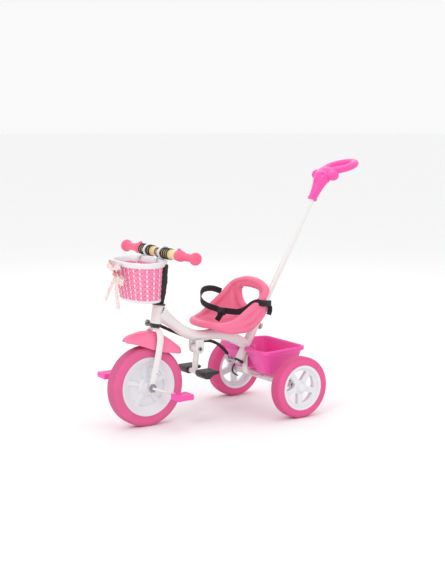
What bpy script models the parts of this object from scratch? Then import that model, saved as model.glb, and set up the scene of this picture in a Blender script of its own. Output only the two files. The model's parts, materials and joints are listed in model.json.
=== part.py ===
"""Child's tricycle with a steering push bar, a rear bin, a front basket and a folding footrest.

Units are metres, +Z up. The rider faces -Y and +X is the rider's left. The origin lies on the ground under
the middle of the whole tricycle. Every piece hangs on the empty "between_axles", which stands on the ground
midway between the front and rear axle lines, so positions below read as distances from that point.
"""
from math import atan2, cos, degrees, pi, radians, sin

import bmesh
import bpy
from mathutils import Matrix, Vector

# ---------------------------------------------------------------- driving dimensions
MM = 0.001
GAP = 0.3 * MM                      # clearance between pieces that touch
MIDPOINT_Y = -0.11944               # where the axle midpoint lies in the tricycle's own frame

WHEELBASE = 455 * MM
FRONT_AXLE_Y = -WHEELBASE / 2
REAR_AXLE_Y = WHEELBASE / 2
HALF_TRACK = 182.3 * MM

FRONT_WHEEL_R = 125 * MM
FRONT_RIM_R = 92 * MM
FRONT_HALF_WIDTH = 23 * MM
REAR_WHEEL_R = 97.5 * MM
REAR_RIM_R = 72 * MM
REAR_HALF_WIDTH = 21.5 * MM
AXLE_R = 5 * MM
WHEEL_SEGMENTS = 32
TYRE_INSET = 2.4 * MM              # how far the tyre's seat lies inside the rim's lips

RAKE = radians(9.5)                 # the steering axis leans back from vertical
HEAD_LOW = Vector((0, -188, 315.8)) * MM
HEAD_LENGTH = 57.4 * MM
HEAD_R = 17.5 * MM
STEERER_R = 11 * MM

TUBE_R = 17 * MM
TUBE_WALL = 2 * MM
BAR_LEAN = radians(29.9)            # the push bar leans back from vertical
SOCKET_LOW = Vector((0, 123.5, 165.5)) * MM
SOCKET_LENGTH = 139 * MM
SOCKET_R = 14.5 * MM
PUSH_BAR_R = 9.5 * MM

HANDLEBAR_Y = -172 * MM
HANDLEBAR_Z = 535.5 * MM
HANDLEBAR_R = 11 * MM

FORK_HALF_GAP = 36 * MM             # inside face of a fork leg
FORK_LEG_THICK = 9 * MM
FORK_LEG_WIDE = 23 * MM

CRANK_REACH_Y = 72 * MM
CRANK_DROP_Z = 25 * MM
CRANK_R = 4 * MM

STEERING_ARM = 52 * MM
LEVER_ARM = 50 * MM

FOOTREST_PIVOT = Vector((0, -40, 222)) * MM

WHITE_PAINT = (0.86, 0.85, 0.84, 1)
WHITE_PLASTIC = (0.88, 0.88, 0.90, 1)
PINK = (0.93, 0.20, 0.38, 1)
TYRE_PINK = (0.86, 0.20, 0.40, 1)
MAGENTA = (0.96, 0.08, 0.55, 1)
BLACK = (0.015, 0.015, 0.016, 1)
STEEL = (0.62, 0.62, 0.64, 1)
CREAM = (0.93, 0.80, 0.50, 1)
RIBBON = (0.98, 0.60, 0.58, 1)


for leftover in list(bpy.data.objects):
    bpy.data.objects.remove(leftover, do_unlink=True)


# ---------------------------------------------------------------- helpers
def material(name, colour, roughness, metallic=0.0):
    made = bpy.data.materials.new(name)
    made.use_nodes = True
    shader = made.node_tree.nodes["Principled BSDF"]
    shader.inputs["Base Color"].default_value = colour
    shader.inputs["Roughness"].default_value = roughness
    shader.inputs["Metallic"].default_value = metallic
    return made


def empty(name, at, parent=None):
    """An empty at a point given from between_axles; parents carry no rotation."""
    marker = bpy.data.objects.new(name, None)
    bpy.context.scene.collection.objects.link(marker)
    marker.empty_display_size = 0.03
    marker["at"] = [at[0], at[1], at[2]]
    if parent is None:
        marker.location = (0, MIDPOINT_Y, 0)
    else:
        marker.parent = parent
        marker.location = Vector(at) - Vector(parent["at"])
    return marker


def add(name, shape, colour, roughness, parent, at=(0, 0, 0), turn=(0, 0, 0), metallic=0.0, smooth=35):
    """Turns a bmesh into a named object hung on a body's empty at a point given from between_axles."""
    bmesh.ops.recalc_face_normals(shape, faces=shape.faces)
    mesh = bpy.data.meshes.new(name)
    shape.to_mesh(mesh)
    shape.free()
    mesh.shade_smooth()
    mesh.set_sharp_from_angle(angle=radians(smooth))
    mesh.materials.append(material(name, colour, roughness, metallic))
    piece = bpy.data.objects.new(name, mesh)
    bpy.context.scene.collection.objects.link(piece)
    piece.parent = parent
    piece.location = Vector(at) - Vector(parent["at"])
    piece.rotation_euler = turn
    return piece


def combine(piece, tool, operation):
    """Cuts a tool from a piece, or joins it on; the tool itself isn't part of the tricycle."""
    tool.hide_render = True
    tool.display_type = "WIRE"
    step = piece.modifiers.new(tool.name, "BOOLEAN")
    step.operation = operation
    step.solver = "EXACT"
    step.object = tool


def tool(name, shape, parent, at=(0, 0, 0), turn=(0, 0, 0)):
    return add(name, shape, BLACK, 0.5, parent, at, turn)


def bridge(shape, rings, closed_loop=False):
    """Skins a list of vertex rings, and caps both ends unless the rings close into a loop."""
    count = len(rings[0])
    pairs = list(zip(rings, rings[1:]))
    if closed_loop:
        pairs.append((rings[-1], rings[0]))
    for low, high in pairs:
        for i in range(count):
            j = (i + 1) % count
            shape.faces.new((low[i], low[j], high[j], high[i]))
    if not closed_loop:
        shape.faces.new(rings[0])
        shape.faces.new(rings[-1])


def lofted(outlines, closed_loop=False):
    shape = bmesh.new()
    rings = [[shape.verts.new(point) for point in outline] for outline in outlines]
    bridge(shape, rings, closed_loop)
    return shape


def turned(profile, segments=24, axis="Z"):
    """Spins a closed profile of (radius, height) round an axis; a profile on the axis makes a solid piece."""
    hollow = min(radius for radius, height in profile) > 1e-6
    shape = bmesh.new()
    columns = []
    for step in range(segments):
        angle = 2 * pi * step / segments
        columns.append([(radius * cos(angle), radius * sin(angle), height) for radius, height in profile])
    if hollow:
        rings = [[shape.verts.new(point) for point in column] for column in columns]
        bridge(shape, rings, closed_loop=True)
    else:
        bottom = shape.verts.new((0, 0, profile[0][1]))
        top = shape.verts.new((0, 0, profile[-1][1]))
        rings = [[shape.verts.new(point) for point in column[1:-1]] for column in columns]
        for left, right in zip(rings, rings[1:] + rings[:1]):
            shape.faces.new((bottom, right[0], left[0]))
            shape.faces.new((top, left[-1], right[-1]))
            for low in range(len(left) - 1):
                shape.faces.new((left[low], right[low], right[low + 1], left[low + 1]))
    if axis == "X":
        bmesh.ops.rotate(shape, verts=shape.verts, matrix=Matrix.Rotation(pi / 2, 3, "Y"))
    return shape


def rod(radius, low, high, segments=24, axis="Z"):
    return turned([(0, low), (radius, low), (radius, high), (0, high)], segments, axis)


def pipe(outer, inner, low, high, segments=24, axis="Z"):
    return turned([(inner, low), (outer, low), (outer, high), (inner, high)], segments, axis)


def box(size, centre=(0, 0, 0)):
    shape = bmesh.new()
    bmesh.ops.create_cube(shape, size=1.0)
    bmesh.ops.scale(shape, vec=size, verts=shape.verts)
    bmesh.ops.translate(shape, vec=centre, verts=shape.verts)
    return shape


def rounded_box(size, centre=(0, 0, 0), bevel=2 * MM, segments=2):
    shape = box(size, centre)
    bmesh.ops.bevel(shape, geom=shape.edges[:], offset=bevel, segments=segments, affect="EDGES", profile=0.5)
    return shape


def smooth_path(points, steps=4):
    """Points on a Catmull-Rom curve that passes through the given ones."""
    knots = [Vector(point) for point in points]
    knots = [2 * knots[0] - knots[1]] + knots + [2 * knots[-1] - knots[-2]]
    path = []
    for a, b, c, d in zip(knots, knots[1:], knots[2:], knots[3:]):
        for step in range(steps):
            t = step / steps
            path.append(0.5 * (2 * b + (c - a) * t + (2 * a - 5 * b + 4 * c - d) * t * t
                               + (3 * b - a - 3 * c + d) * t ** 3))
    path.append(knots[-2])
    return path


def frames(path, side):
    """A side and an upright direction at each point of a path, carried along without twisting."""
    result = []
    for index, point in enumerate(path):
        before = path[max(index - 1, 0)]
        after = path[min(index + 1, len(path) - 1)]
        along = (after - before).normalized()
        side = (side - along * side.dot(along)).normalized()
        result.append((point, side, along.cross(side)))
    return result


def oval(half_wide, half_tall, segments):
    return [(half_wide * cos(2 * pi * i / segments), half_tall * sin(2 * pi * i / segments))
            for i in range(segments)]


def swept(path, sections, side=(1, 0, 0)):
    """A solid bar: each point of the path has its own (side, upright) outline, or all share one."""
    path = [Vector(point) for point in path]
    if isinstance(sections[0][0], (int, float)):
        sections = [sections] * len(path)
    outlines = []
    for (point, across, upright), section in zip(frames(path, Vector(side)), sections):
        outlines.append([point + across * u + upright * v for u, v in section])
    return lofted(outlines)


def swept_pipe(path, radii, wall, segments=16):
    """A bent tube with open ends."""
    path = [Vector(point) for point in path]
    outside = []
    inside = []
    for (point, across, upright), radius in zip(frames(path, Vector((1, 0, 0))), radii):
        for rings, r in ((outside, radius), (inside, radius - wall)):
            rings.append([point + across * u + upright * v for u, v in oval(r, r, segments)])
    return lofted(outside + inside[::-1], closed_loop=True)


def plate(outline, thickness, axis="X"):
    """A flat plate with its outline in the plane across the axis, centred on that plane."""
    half = thickness / 2
    if axis == "X":
        layers = [[(x, a, b) for a, b in outline] for x in (-half, half)]
    elif axis == "Y":
        layers = [[(a, y, b) for a, b in outline] for y in (-half, half)]
    else:
        layers = [[(a, b, z) for a, b in outline] for z in (-half, half)]
    return lofted(layers)


def arc(centre, radius, start, end, steps):
    """Points on an arc, with its angles in degrees."""
    points = []
    for step in range(steps + 1):
        angle = radians(start + (end - start) * step / steps)
        points.append((centre[0] + radius * cos(angle), centre[1] + radius * sin(angle)))
    return points


def mm(*values):
    return Vector(values) * MM


def on_steering_axis(height):
    """The steering axis at a height above the ground."""
    return Vector((0, HEAD_LOW.y + (height - HEAD_LOW.z) * sin(RAKE) / cos(RAKE), height))


def on_bar_axis(distance):
    """The push bar's axis at a distance up it from the socket's lower end."""
    return SOCKET_LOW + Vector((0, sin(BAR_LEAN), cos(BAR_LEAN))) * distance


# ---------------------------------------------------------------- bodies
CENTRE = empty("between_axles", (0, 0, 0))
FRAME = empty("frame_body", (0, 0, 0), CENTRE)
STEERING = empty("steering_axis", HEAD_LOW, CENTRE)
FRONT_WHEEL = empty("front_axle_line", (0, FRONT_AXLE_Y, FRONT_WHEEL_R), STEERING)
PUSH_BAR = empty("push_bar_axis", SOCKET_LOW, CENTRE)
FOOTREST = empty("footrest_axis", FOOTREST_PIVOT, CENTRE)
STEER_TURN = (-RAKE, 0, 0)
BAR_TURN = (-BAR_LEAN, 0, 0)
KNOB_AT = on_bar_axis(130 * MM)
KNOB_TURN = (-BAR_LEAN - pi / 2, 0, 0)
KNOB_SCREW_R = 3.5 * MM


# ---------------------------------------------------------------- frame
def build_head():
    add("head_tube", pipe(HEAD_R, HEAD_R - 2.5 * MM, 0, HEAD_LENGTH), WHITE_PAINT, 0.3, FRAME, HEAD_LOW,
        STEER_TURN)
    bore = STEERER_R + GAP
    add("head_bush_lower",
        turned([(bore, -4.5 * MM), (HEAD_R, -4.5 * MM), (HEAD_R, -GAP), (HEAD_R - 2.5 * MM - GAP, -GAP),
                (HEAD_R - 2.5 * MM - GAP, 9 * MM), (bore, 9 * MM)]),
        BLACK, 0.5, FRAME, HEAD_LOW, STEER_TURN)
    top = HEAD_LENGTH + GAP
    add("head_bush_upper",
        turned([(bore, top + 5.5 * MM), (22 * MM, top + 5.5 * MM), (22 * MM, top),
                (HEAD_R - 2.5 * MM - GAP, top), (HEAD_R - 2.5 * MM - GAP, top - 9 * MM), (bore, top - 9 * MM)]),
        BLACK, 0.5, FRAME, HEAD_LOW, STEER_TURN)


MAIN_TUBE_ROUTE = [mm(0, -176, 352), mm(0, -150, 328), mm(0, -122, 306), mm(0, -92, 284), mm(0, -54, 266),
                   mm(0, -15, 260), mm(0, 26, 261), mm(0, 62, 254), mm(0, 98, 241), mm(0, 134, 222),
                   mm(0, 149, 212)]


def build_main_tube():
    path = smooth_path(MAIN_TUBE_ROUTE, 2)
    flare = [5 * MM, 5 * MM, 4 * MM, 2.5 * MM, 1 * MM]
    radii = [TUBE_R + (flare[i] if i < len(flare) else 0) for i in range(len(path))]
    tube = add("main_tube", swept_pipe(path, radii, TUBE_WALL), WHITE_PAINT, 0.3, FRAME)
    combine(tube, tool("head_clearance", rod(HEAD_R + GAP, -60 * MM, 120 * MM, 36), FRAME, HEAD_LOW,
                       STEER_TURN), "DIFFERENCE")
    combine(tube, tool("socket_clearance", rod(SOCKET_R + GAP, -60 * MM, 190 * MM, 36), FRAME, SOCKET_LOW,
                       BAR_TURN), "DIFFERENCE")


def build_socket():
    socket = add("push_bar_socket", pipe(SOCKET_R, SOCKET_R - 2 * MM, 0, SOCKET_LENGTH), WHITE_PAINT, 0.3,
                 FRAME, SOCKET_LOW, BAR_TURN)
    bore = PUSH_BAR_R + GAP
    sleeve = SOCKET_R - 2 * MM - GAP
    add("socket_bush",
        turned([(bore, -6 * MM), (16.5 * MM, -6 * MM), (16.5 * MM, -GAP), (sleeve, -GAP), (sleeve, 12 * MM),
                (bore, 12 * MM)]),
        BLACK, 0.5, FRAME, SOCKET_LOW, BAR_TURN)
    upper = add("socket_bush_upper", pipe(sleeve, bore, SOCKET_LENGTH - 24 * MM, SOCKET_LENGTH), BLACK, 0.5,
                FRAME, SOCKET_LOW, BAR_TURN)
    for piece in (socket, upper):
        hole = rod(KNOB_SCREW_R + GAP, 0, 30 * MM, 16)
        combine(piece, tool(piece.name + "_screw_hole", hole, FRAME, KNOB_AT, KNOB_TURN), "DIFFERENCE")


def build_axle_stay():
    """A bent flat bar from the back of the socket down and back to the axle tube."""
    behind = Vector((0, cos(BAR_LEAN), -sin(BAR_LEAN))) * (SOCKET_R + 2.8 * MM)
    upper = on_bar_axis(46 * MM) + behind
    lower = on_bar_axis(20 * MM) + behind
    route = [upper, lower, mm(0, 146.5, 160), mm(0, 147, 134), mm(0, 152, 119), mm(0, 166, 112.5),
             mm(0, 198, 104.5), mm(0, 212.2, 101.5)]
    section = [(-12 * MM, -2.4 * MM), (12 * MM, -2.4 * MM), (12 * MM, 2.4 * MM), (-12 * MM, 2.4 * MM)]
    add("axle_stay", swept(smooth_path(route, 3), section), WHITE_PAINT, 0.35, FRAME)


AXLE_TUBE_R = 12.5 * MM
AXLE_TUBE_HALF = 156 * MM
BRAKE_PIVOT = mm(0, 213.5, 117)
BRAKE_PIN_R = 2 * MM


def build_rear_axle():
    centre = (0, REAR_AXLE_Y, REAR_WHEEL_R)
    tube = add("rear_axle_tube",
               pipe(AXLE_TUBE_R, AXLE_TUBE_R - 2 * MM, -AXLE_TUBE_HALF, AXLE_TUBE_HALF, axis="X"),
               WHITE_PAINT, 0.3, FRAME, centre)
    for name, side in (("left", 1), ("right", -1)):
        outline = [(-17.5, 22), (-13, 24.5), (-8.5, 22.5), (-1, 11.6), (-9, 7), (-18.5, 16)]
        lug = plate([(y * MM, z * MM) for y, z in outline], 3 * MM)
        lug_at = (side * 141 * MM, REAR_AXLE_Y, REAR_WHEEL_R)
        combine(tube, tool("brake_lug_" + name, lug, FRAME, lug_at), "UNION")
        ends = sorted((side * 140 * MM, side * 153 * MM))
        pin = rod(BRAKE_PIN_R, ends[0], ends[1], 12, "X")
        combine(tube, tool("brake_pin_" + name, pin, FRAME, BRAKE_PIVOT), "UNION")
    add("rear_axle", rod(AXLE_R, -200 * MM, 200 * MM, 16, "X"), STEEL, 0.3, FRAME, centre, metallic=1.0)


# ---------------------------------------------------------------- wheels
def turned_tyre(radius, seat_radius, rim_radius, half_width, tread):
    """A foam tyre: a flat tread, rounded shoulders and flanks that lie against the rim's lips."""
    flank = half_width + 0.6 * MM
    seat = half_width - TYRE_INSET
    outline = [(seat_radius, seat), (rim_radius + GAP, seat), (rim_radius + GAP, half_width),
               (rim_radius + 0.6 * (radius - rim_radius), flank), (radius - 1.8 * MM, tread + 1.2 * MM),
               (radius, tread - 1.5 * MM)]
    mirrored = [(r, -x) for r, x in reversed(outline)]
    return turned(outline + mirrored, WHEEL_SEGMENTS, "X")


def build_front_wheel():
    centre = (0, FRONT_AXLE_Y, FRONT_WHEEL_R)
    seat = FRONT_RIM_R - 4 * MM
    add("front_tyre", turned_tyre(FRONT_WHEEL_R, seat + GAP, FRONT_RIM_R, FRONT_HALF_WIDTH, 18 * MM),
        TYRE_PINK, 0.75, FRONT_WHEEL, centre)
    lip = FRONT_HALF_WIDTH - TYRE_INSET + GAP
    half = [(CRANK_R + GAP, 30 * MM), (13 * MM, 30 * MM), (14.5 * MM, 16 * MM), (22 * MM, 14 * MM),
            (24 * MM, 10 * MM), (66 * MM, 8 * MM), (80 * MM, 14 * MM), (86 * MM, FRONT_HALF_WIDTH),
            (FRONT_RIM_R, FRONT_HALF_WIDTH), (FRONT_RIM_R, lip), (seat, lip)]
    profile = half + [(r, -x) for r, x in reversed(half)]
    rim = add("front_rim", turned(profile, WHEEL_SEGMENTS, "X"), WHITE_PLASTIC, 0.35, FRONT_WHEEL, centre)
    for side in (1, -1):
        for step in range(5):
            angle = radians(20 + 72 * step)
            pocket = tool("rim_recess_%d_%d" % (side, step), recess(side, angle), FRONT_WHEEL, centre)
            combine(rim, pocket, "DIFFERENCE")


def sector(x, outline, angle):
    """A flat outline of (outward, across) points turned by an angle about X, at a distance x."""
    return [(x, a * cos(angle) - b * sin(angle), a * sin(angle) + b * cos(angle)) for a, b in outline]


def recess(side, angle):
    """A shallow pocket between two spokes of the front wheel's disc."""
    outline = arc((0, 0), 62 * MM, -24, 24, 4) + arc((0, 0), 31 * MM, 18, -18, 2)
    return lofted([sector(side * 4.5 * MM, outline, angle), sector(side * 20 * MM, outline, angle)])


def build_crank_axle():
    """One bent rod: the front axle through the hub, a crank at each end and a pin for each pedal."""
    reach = Vector((0, CRANK_REACH_Y, -CRANK_DROP_Z))
    half = [mm(50, 0, 0), mm(56, 0, 0) + reach * 0.06, mm(66, 0, 0) + reach * 0.94, mm(72, 0, 0) + reach,
            mm(124, 0, 0) + reach]
    route = [-point for point in reversed(half)] + half
    add("crank_axle", swept(route, oval(CRANK_R, CRANK_R, 10), (0, 0, 1)), WHITE_PAINT, 0.3, FRONT_WHEEL,
        (0, FRONT_AXLE_Y, FRONT_WHEEL_R))


PEDAL_HALF_X = 24 * MM
PEDAL_OUTLINE = [(-29, -5), (-25, -10), (-12, -9), (12, -9), (25, -10), (29, -5), (29, 5), (25, 10),
                 (12, 9), (-12, 9), (-25, 10), (-29, 5)]


def build_pedal(name, side):
    """A block pedal with rounded ends, bored from its inner side for the crank's pin."""
    centre = mm(side * 101, 0, 0) + Vector((0, FRONT_AXLE_Y, FRONT_WHEEL_R))
    centre += side * Vector((0, CRANK_REACH_Y, -CRANK_DROP_Z))
    body = empty(name + "_pin", centre, FRONT_WHEEL)
    layers = []
    for along, scale in ((-1, 0.86), (-0.85, 1), (0.85, 1), (1, 0.86)):
        layers.append([(along * PEDAL_HALF_X, y * scale * MM, z * scale * MM) for y, z in PEDAL_OUTLINE])
    pedal = add(name, lofted(layers), MAGENTA, 0.35, body, centre)
    ends = sorted((-side * 40 * MM, side * 23.4 * MM))
    bore = tool(name + "_bore", rod(CRANK_R + GAP, ends[0], ends[1], 12, "X"), body, centre)
    combine(pedal, bore, "DIFFERENCE")


def build_rear_wheel(name, side):
    centre = Vector((side * HALF_TRACK, REAR_AXLE_Y, REAR_WHEEL_R))
    body = empty("rear_axle_line_" + name, centre, CENTRE)
    seat = REAR_RIM_R - 4 * MM
    add("rear_tyre_" + name, turned_tyre(REAR_WHEEL_R, seat + GAP, REAR_RIM_R, REAR_HALF_WIDTH, 19 * MM),
        TYRE_PINK, 0.75, body, centre)
    wide = REAR_HALF_WIDTH
    lip = wide - TYRE_INSET + GAP
    bore = AXLE_R + GAP
    profile = [(bore, -17 * MM), (14 * MM, -17 * MM), (14 * MM, -6 * MM), (56 * MM, -6 * MM),
               (62 * MM, -wide), (REAR_RIM_R, -wide), (REAR_RIM_R, -lip), (seat, -lip), (seat, lip),
               (REAR_RIM_R, lip), (REAR_RIM_R, wide), (62 * MM, wide), (56 * MM, 10 * MM),
               (18 * MM, 12 * MM), (16 * MM, 17 * MM), (bore, 17 * MM)]
    shape = turned([(r, side * x) for r, x in profile], WHEEL_SEGMENTS, "X")
    rim = add("rear_rim_" + name, shape, WHITE_PLASTIC, 0.35, body, centre)
    for step in range(5):
        outline = arc((0, 0), 53 * MM, -26, 26, 5) + arc((0, 0), 23 * MM, 13, -13, 2)
        angle = radians(90 + 72 * step)
        opening = lofted([sector(-30 * MM, outline, angle), sector(30 * MM, outline, angle)])
        combine(rim, tool("rim_window_%s_%d" % (name, step), opening, body, centre), "DIFFERENCE")
    cap = [(0, 23.5), (8, 23), (12, 20), (12.4, 17.3), (10.4, 17.3), (10, 20.5), (0, 21)]
    add("hub_cap_" + name, turned([(r * MM, side * x * MM) for r, x in cap], 20, "X"), WHITE_PLASTIC, 0.35,
        body, centre)


# ---------------------------------------------------------------- fork and column
CROWN_Z = 300 * MM
CROWN = on_steering_axis(CROWN_Z)
CROWN_TOP = 3.6 * MM
STEERER_TOP = 226 * MM


def along_steering(point):
    """A point given from between_axles, as (x, ahead or behind, up) from the crown on the steering axis."""
    return Matrix.Rotation(RAKE, 3, "X") @ (Vector(point) - CROWN)


def build_fork():
    """A flat oval bar bent over the wheel, with its legs along the steering axis."""
    axle = along_steering((0, FRONT_AXLE_Y, FRONT_WHEEL_R))
    leg_x = FORK_HALF_GAP + FORK_LEG_THICK / 2
    bend = 34 * MM
    half = [(x, 0, z) for x, z in arc((leg_x - bend, -bend), bend, 90, 0, 5)]
    half += [(leg_x, 0, -110 * MM), (leg_x, 0.6 * axle.y, axle.z + 34 * MM), (leg_x, axle.y, axle.z),
             (leg_x, axle.y * 1.1, axle.z - 11 * MM)]
    route = [(-x, y, z) for x, y, z in reversed(half)] + half
    narrow = [0.6] + [1.0] * (len(route) - 2) + [0.6]
    sections = [oval(FORK_LEG_THICK / 2, n * FORK_LEG_WIDE / 2, 12) for n in narrow]
    fork = add("fork", swept(route, sections, (1, 0, 0)), WHITE_PAINT, 0.3, STEERING, CROWN, STEER_TURN)
    combine(fork, tool("axle_hole", rod(CRANK_R + GAP, -70 * MM, 70 * MM, 16, "X"), STEERING,
                       (0, FRONT_AXLE_Y, FRONT_WHEEL_R)), "DIFFERENCE")
    combine(fork, tool("crown_seat", rod(24 * MM, CROWN_TOP, 20 * MM, 24), STEERING, CROWN, STEER_TURN),
            "DIFFERENCE")


def build_hub_washer(name, side):
    """A star-edged bearing plate on the outside of a fork leg, round the axle."""
    outline = []
    for step in range(16):
        radius = (15 if step % 2 else 12.5) * MM
        outline.append((radius * cos(pi * step / 8), radius * sin(pi * step / 8)))
    at = (side * (FORK_HALF_GAP + FORK_LEG_THICK + 1.5 * MM + GAP), FRONT_AXLE_Y, FRONT_WHEEL_R)
    washer = add("hub_washer_" + name, plate(outline, 3 * MM), STEEL, 0.3, STEERING, at, metallic=1.0)
    combine(washer, tool("washer_hole_" + name, rod(CRANK_R + GAP, -8 * MM, 8 * MM, 12, "X"), STEERING, at),
            "DIFFERENCE")


def build_steering_column():
    add("steerer_tube", pipe(STEERER_R, STEERER_R - 2 * MM, CROWN_TOP + GAP, STEERER_TOP), WHITE_PAINT, 0.3,
        STEERING, CROWN, STEER_TURN)
    bore = STEERER_R + GAP
    low = (HEAD_LOW - CROWN).length + HEAD_LENGTH + 6.2 * MM
    wavy = (17, 19.5, 18, 19.5, 18.5, 17, 17.5, 16, 15.5, 14.5)
    profile = [(bore, low), (16 * MM, low)]
    profile += [(radius * MM, low + (6 + 12.2 * step) * MM) for step, radius in enumerate(wavy)]
    profile += [(13.5 * MM, low + 121 * MM), (bore, low + 121 * MM)]
    add("stem_sleeve", turned(profile, 20), BLACK, 0.7, STEERING, CROWN, STEER_TURN)
    grip_at = (0, HANDLEBAR_Y, HANDLEBAR_Z)
    block = rounded_box((26 * MM, 34 * MM, 34 * MM), (0, 11 * MM, -4 * MM), 4 * MM, 1)
    clamp = add("stem_clamp", block, BLACK, 0.4, STEERING, grip_at)
    combine(clamp, tool("clamp_bar_hole", rod(HANDLEBAR_R + GAP, -40 * MM, 40 * MM, 24, "X"), STEERING,
                        grip_at), "DIFFERENCE")
    combine(clamp, tool("clamp_stem_hole", rod(bore, 100 * MM, STEERER_TOP + GAP, 24), STEERING, CROWN,
                        STEER_TURN), "DIFFERENCE")


def build_handlebar():
    at = (0, HANDLEBAR_Y, HANDLEBAR_Z)
    bore = HANDLEBAR_R + GAP
    add("handlebar", pipe(HANDLEBAR_R, HANDLEBAR_R - 2 * MM, -190 * MM, 190 * MM, 24, "X"), STEEL, 0.3,
        STEERING, at, metallic=1.0)
    for name, low, high in (("left", 72.6, 103.2), ("right", -33, -13.4)):
        add("bar_padding_" + name, pipe(14.5 * MM, bore, low * MM, high * MM, 20, "X"), CREAM, 0.4, STEERING,
            at)
    for name, low, high in (("left", 26.6, 72), ("centre", -59.4, -33.6), ("right", -103.2, -72.6)):
        add("ribbed_sleeve_" + name, ribbed(bore, low * MM, high * MM), BLACK, 0.7, STEERING, at)
    for name, x in (("left", 20), ("right", -66)):
        build_basket_hook(name, x * MM)
    for name, side in (("left", 1), ("right", -1)):
        build_grip(name, side)


def ribbed(bore, low, high):
    """A rubber sleeve with about one rib every 6 mm."""
    ribs = round((high - low) / (6 * MM))
    pitch = (high - low) / ribs
    profile = [(bore, low)]
    for rib in range(ribs):
        start = low + rib * pitch
        profile += [(15 * MM, start), (17.5 * MM, start + 0.5 * pitch)]
    profile += [(15 * MM, high), (bore, high)]
    return turned(profile, 14, "X")


def build_grip(name, side):
    """A moulded grip: a flange with a small fin by the hand, a narrow waist and a round knob at the end."""
    inner = 104 * MM
    profile = [(0, 213), (15, 213), (18.2, 210), (19.4, 204), (18.2, 198), (14, 192), (11.8, 186),
               (11.6, 160), (12.6, 142), (16.6, 130), (17, 120), (15.4, 112), (15, 104), (11.3, 104),
               (11.3, 191), (0, 191)]
    shape = turned([(r * MM, side * x * MM) for r, x in profile], 20, "X")
    at = (0, HANDLEBAR_Y, HANDLEBAR_Z)
    grip = add("grip_" + name, shape, PINK, 0.45, STEERING, at)
    outline = [(inner + a * MM, b * MM) for a, b in ((2, 12), (38, 11.8), (10, 23), (4, 22))]
    fin = plate([(side * a, b) for a, b in outline], 6 * MM, "Y")
    combine(grip, tool("grip_fin_" + name, fin, STEERING, at), "UNION")


# ---------------------------------------------------------------- basket
RIM_TOP_Z = 518 * MM
RIM_LOW_Z = 501 * MM
FLOOR_Z = 393 * MM
BASKET_Y = -249 * MM


def d_ring(half_x, half_y, centre_y, z, count=28):
    """A rounded oval a little squarer than an ellipse."""
    ring = []
    for step in range(count):
        angle = 2 * pi * step / count
        c = cos(angle)
        s = sin(angle)
        ring.append((half_x * MM * abs(c) ** 0.82 * (1 if c > 0 else -1),
                     centre_y + half_y * MM * abs(s) ** 0.82 * (1 if s > 0 else -1), z))
    return ring


def build_basket():
    low_y = BASKET_Y + 6 * MM
    rings = [d_ring(78, 43, low_y, FLOOR_Z), d_ring(82, 46, low_y, FLOOR_Z + 3 * MM),
             d_ring(98, 56, BASKET_Y, RIM_LOW_Z), d_ring(106, 63, BASKET_Y, RIM_LOW_Z + 1 * MM),
             d_ring(108, 64.5, BASKET_Y, RIM_TOP_Z - 3 * MM), d_ring(106, 63, BASKET_Y, RIM_TOP_Z),
             d_ring(98, 55, BASKET_Y, RIM_TOP_Z), d_ring(95, 53, BASKET_Y, RIM_LOW_Z),
             d_ring(78, 43, low_y, FLOOR_Z + 4 * MM)]
    add("basket", lofted(rings), PINK, 0.5, STEERING)


def build_basket_hook(name, x):
    """A white strap ring round the handlebar with a tongue that hooks over the basket's rim."""
    at = (x, HANDLEBAR_Y, HANDLEBAR_Z)
    hook = add("basket_hook_" + name, pipe(18.4 * MM, HANDLEBAR_R + GAP, -6 * MM, 6 * MM, 24, "X"),
               WHITE_PLASTIC, 0.35, STEERING, at)
    inside = BASKET_Y + 53 * MM * (1 - (abs(x) / (95 * MM)) ** 2.44) ** (1 / 2.44) - 3 * MM
    over = RIM_TOP_Z + 0.5 * MM - HANDLEBAR_Z
    reach = inside - HANDLEBAR_Y
    outline = [(-3 * MM, -16 * MM), (-3 * MM, over), (reach, over), (reach, over - 16 * MM),
               (reach - 3 * MM, over - 16 * MM), (reach - 3 * MM, over + 3 * MM), (-12 * MM, over + 4.4 * MM),
               (-12 * MM, -12.6 * MM)]
    tongue = tool("hook_tongue_" + name, plate(outline, 9 * MM), STEERING, at)
    combine(hook, tongue, "UNION")


def build_bow():
    """A ribbon bow tied on the front of the basket, with two loops and two hanging tails."""
    outline = [(-6, 6), (-30, 22), (-50, 30), (-55, 14), (-44, 2), (-20, -5), (-8, -6), (-24, -22),
               (-48, -50), (-74, -86), (-66, -93), (-38, -58), (-16, -30), (-8, -20), (-5, -60), (-2, -108),
               (8, -109), (6, -60), (4, -14), (10, -8), (30, -28), (46, -38), (54, -20), (36, -2), (14, 4),
               (6, 7)]
    shape = plate([(a * MM, b * MM) for a, b in outline], 3 * MM, "Y")
    add("ribbon_bow", shape, RIBBON, 0.5, STEERING, (-3 * MM, BASKET_Y - 67.5 * MM, 482 * MM))


# ---------------------------------------------------------------- fender
FENDER = [(-304, 270, 9, 4), (-292, 279, 24, 13), (-266, 289, 31, 31), (-236, 294.5, 33.5, 46),
          (-206, 291.5, 34, 54), (-176, 281, 34, 50), (-146, 262, 32, 37), (-119, 241, 26, 18),
          (-101, 225, 9, 4)]


def build_fender():
    """Arched sections from nose to tail, each with its crown height, half width and depth of skirt."""
    wall = 2.5
    sections = []
    for y, crown, half, depth in FENDER:
        section = []
        for shrink, order in ((0, range(9)), (wall, range(8, -1, -1))):
            for step in order:
                angle = pi - pi * step / 8
                across = (half - shrink) * cos(angle)
                up = crown - shrink - depth + (depth - 0.2 * shrink) * sin(angle) ** 0.75
                low = crown - depth
                section.append(mm(across, y, max(up, low) if step not in (0, 8) else low))
        sections.append(section)
    add("front_fender", lofted(sections), PINK, 0.35, STEERING)


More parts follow.
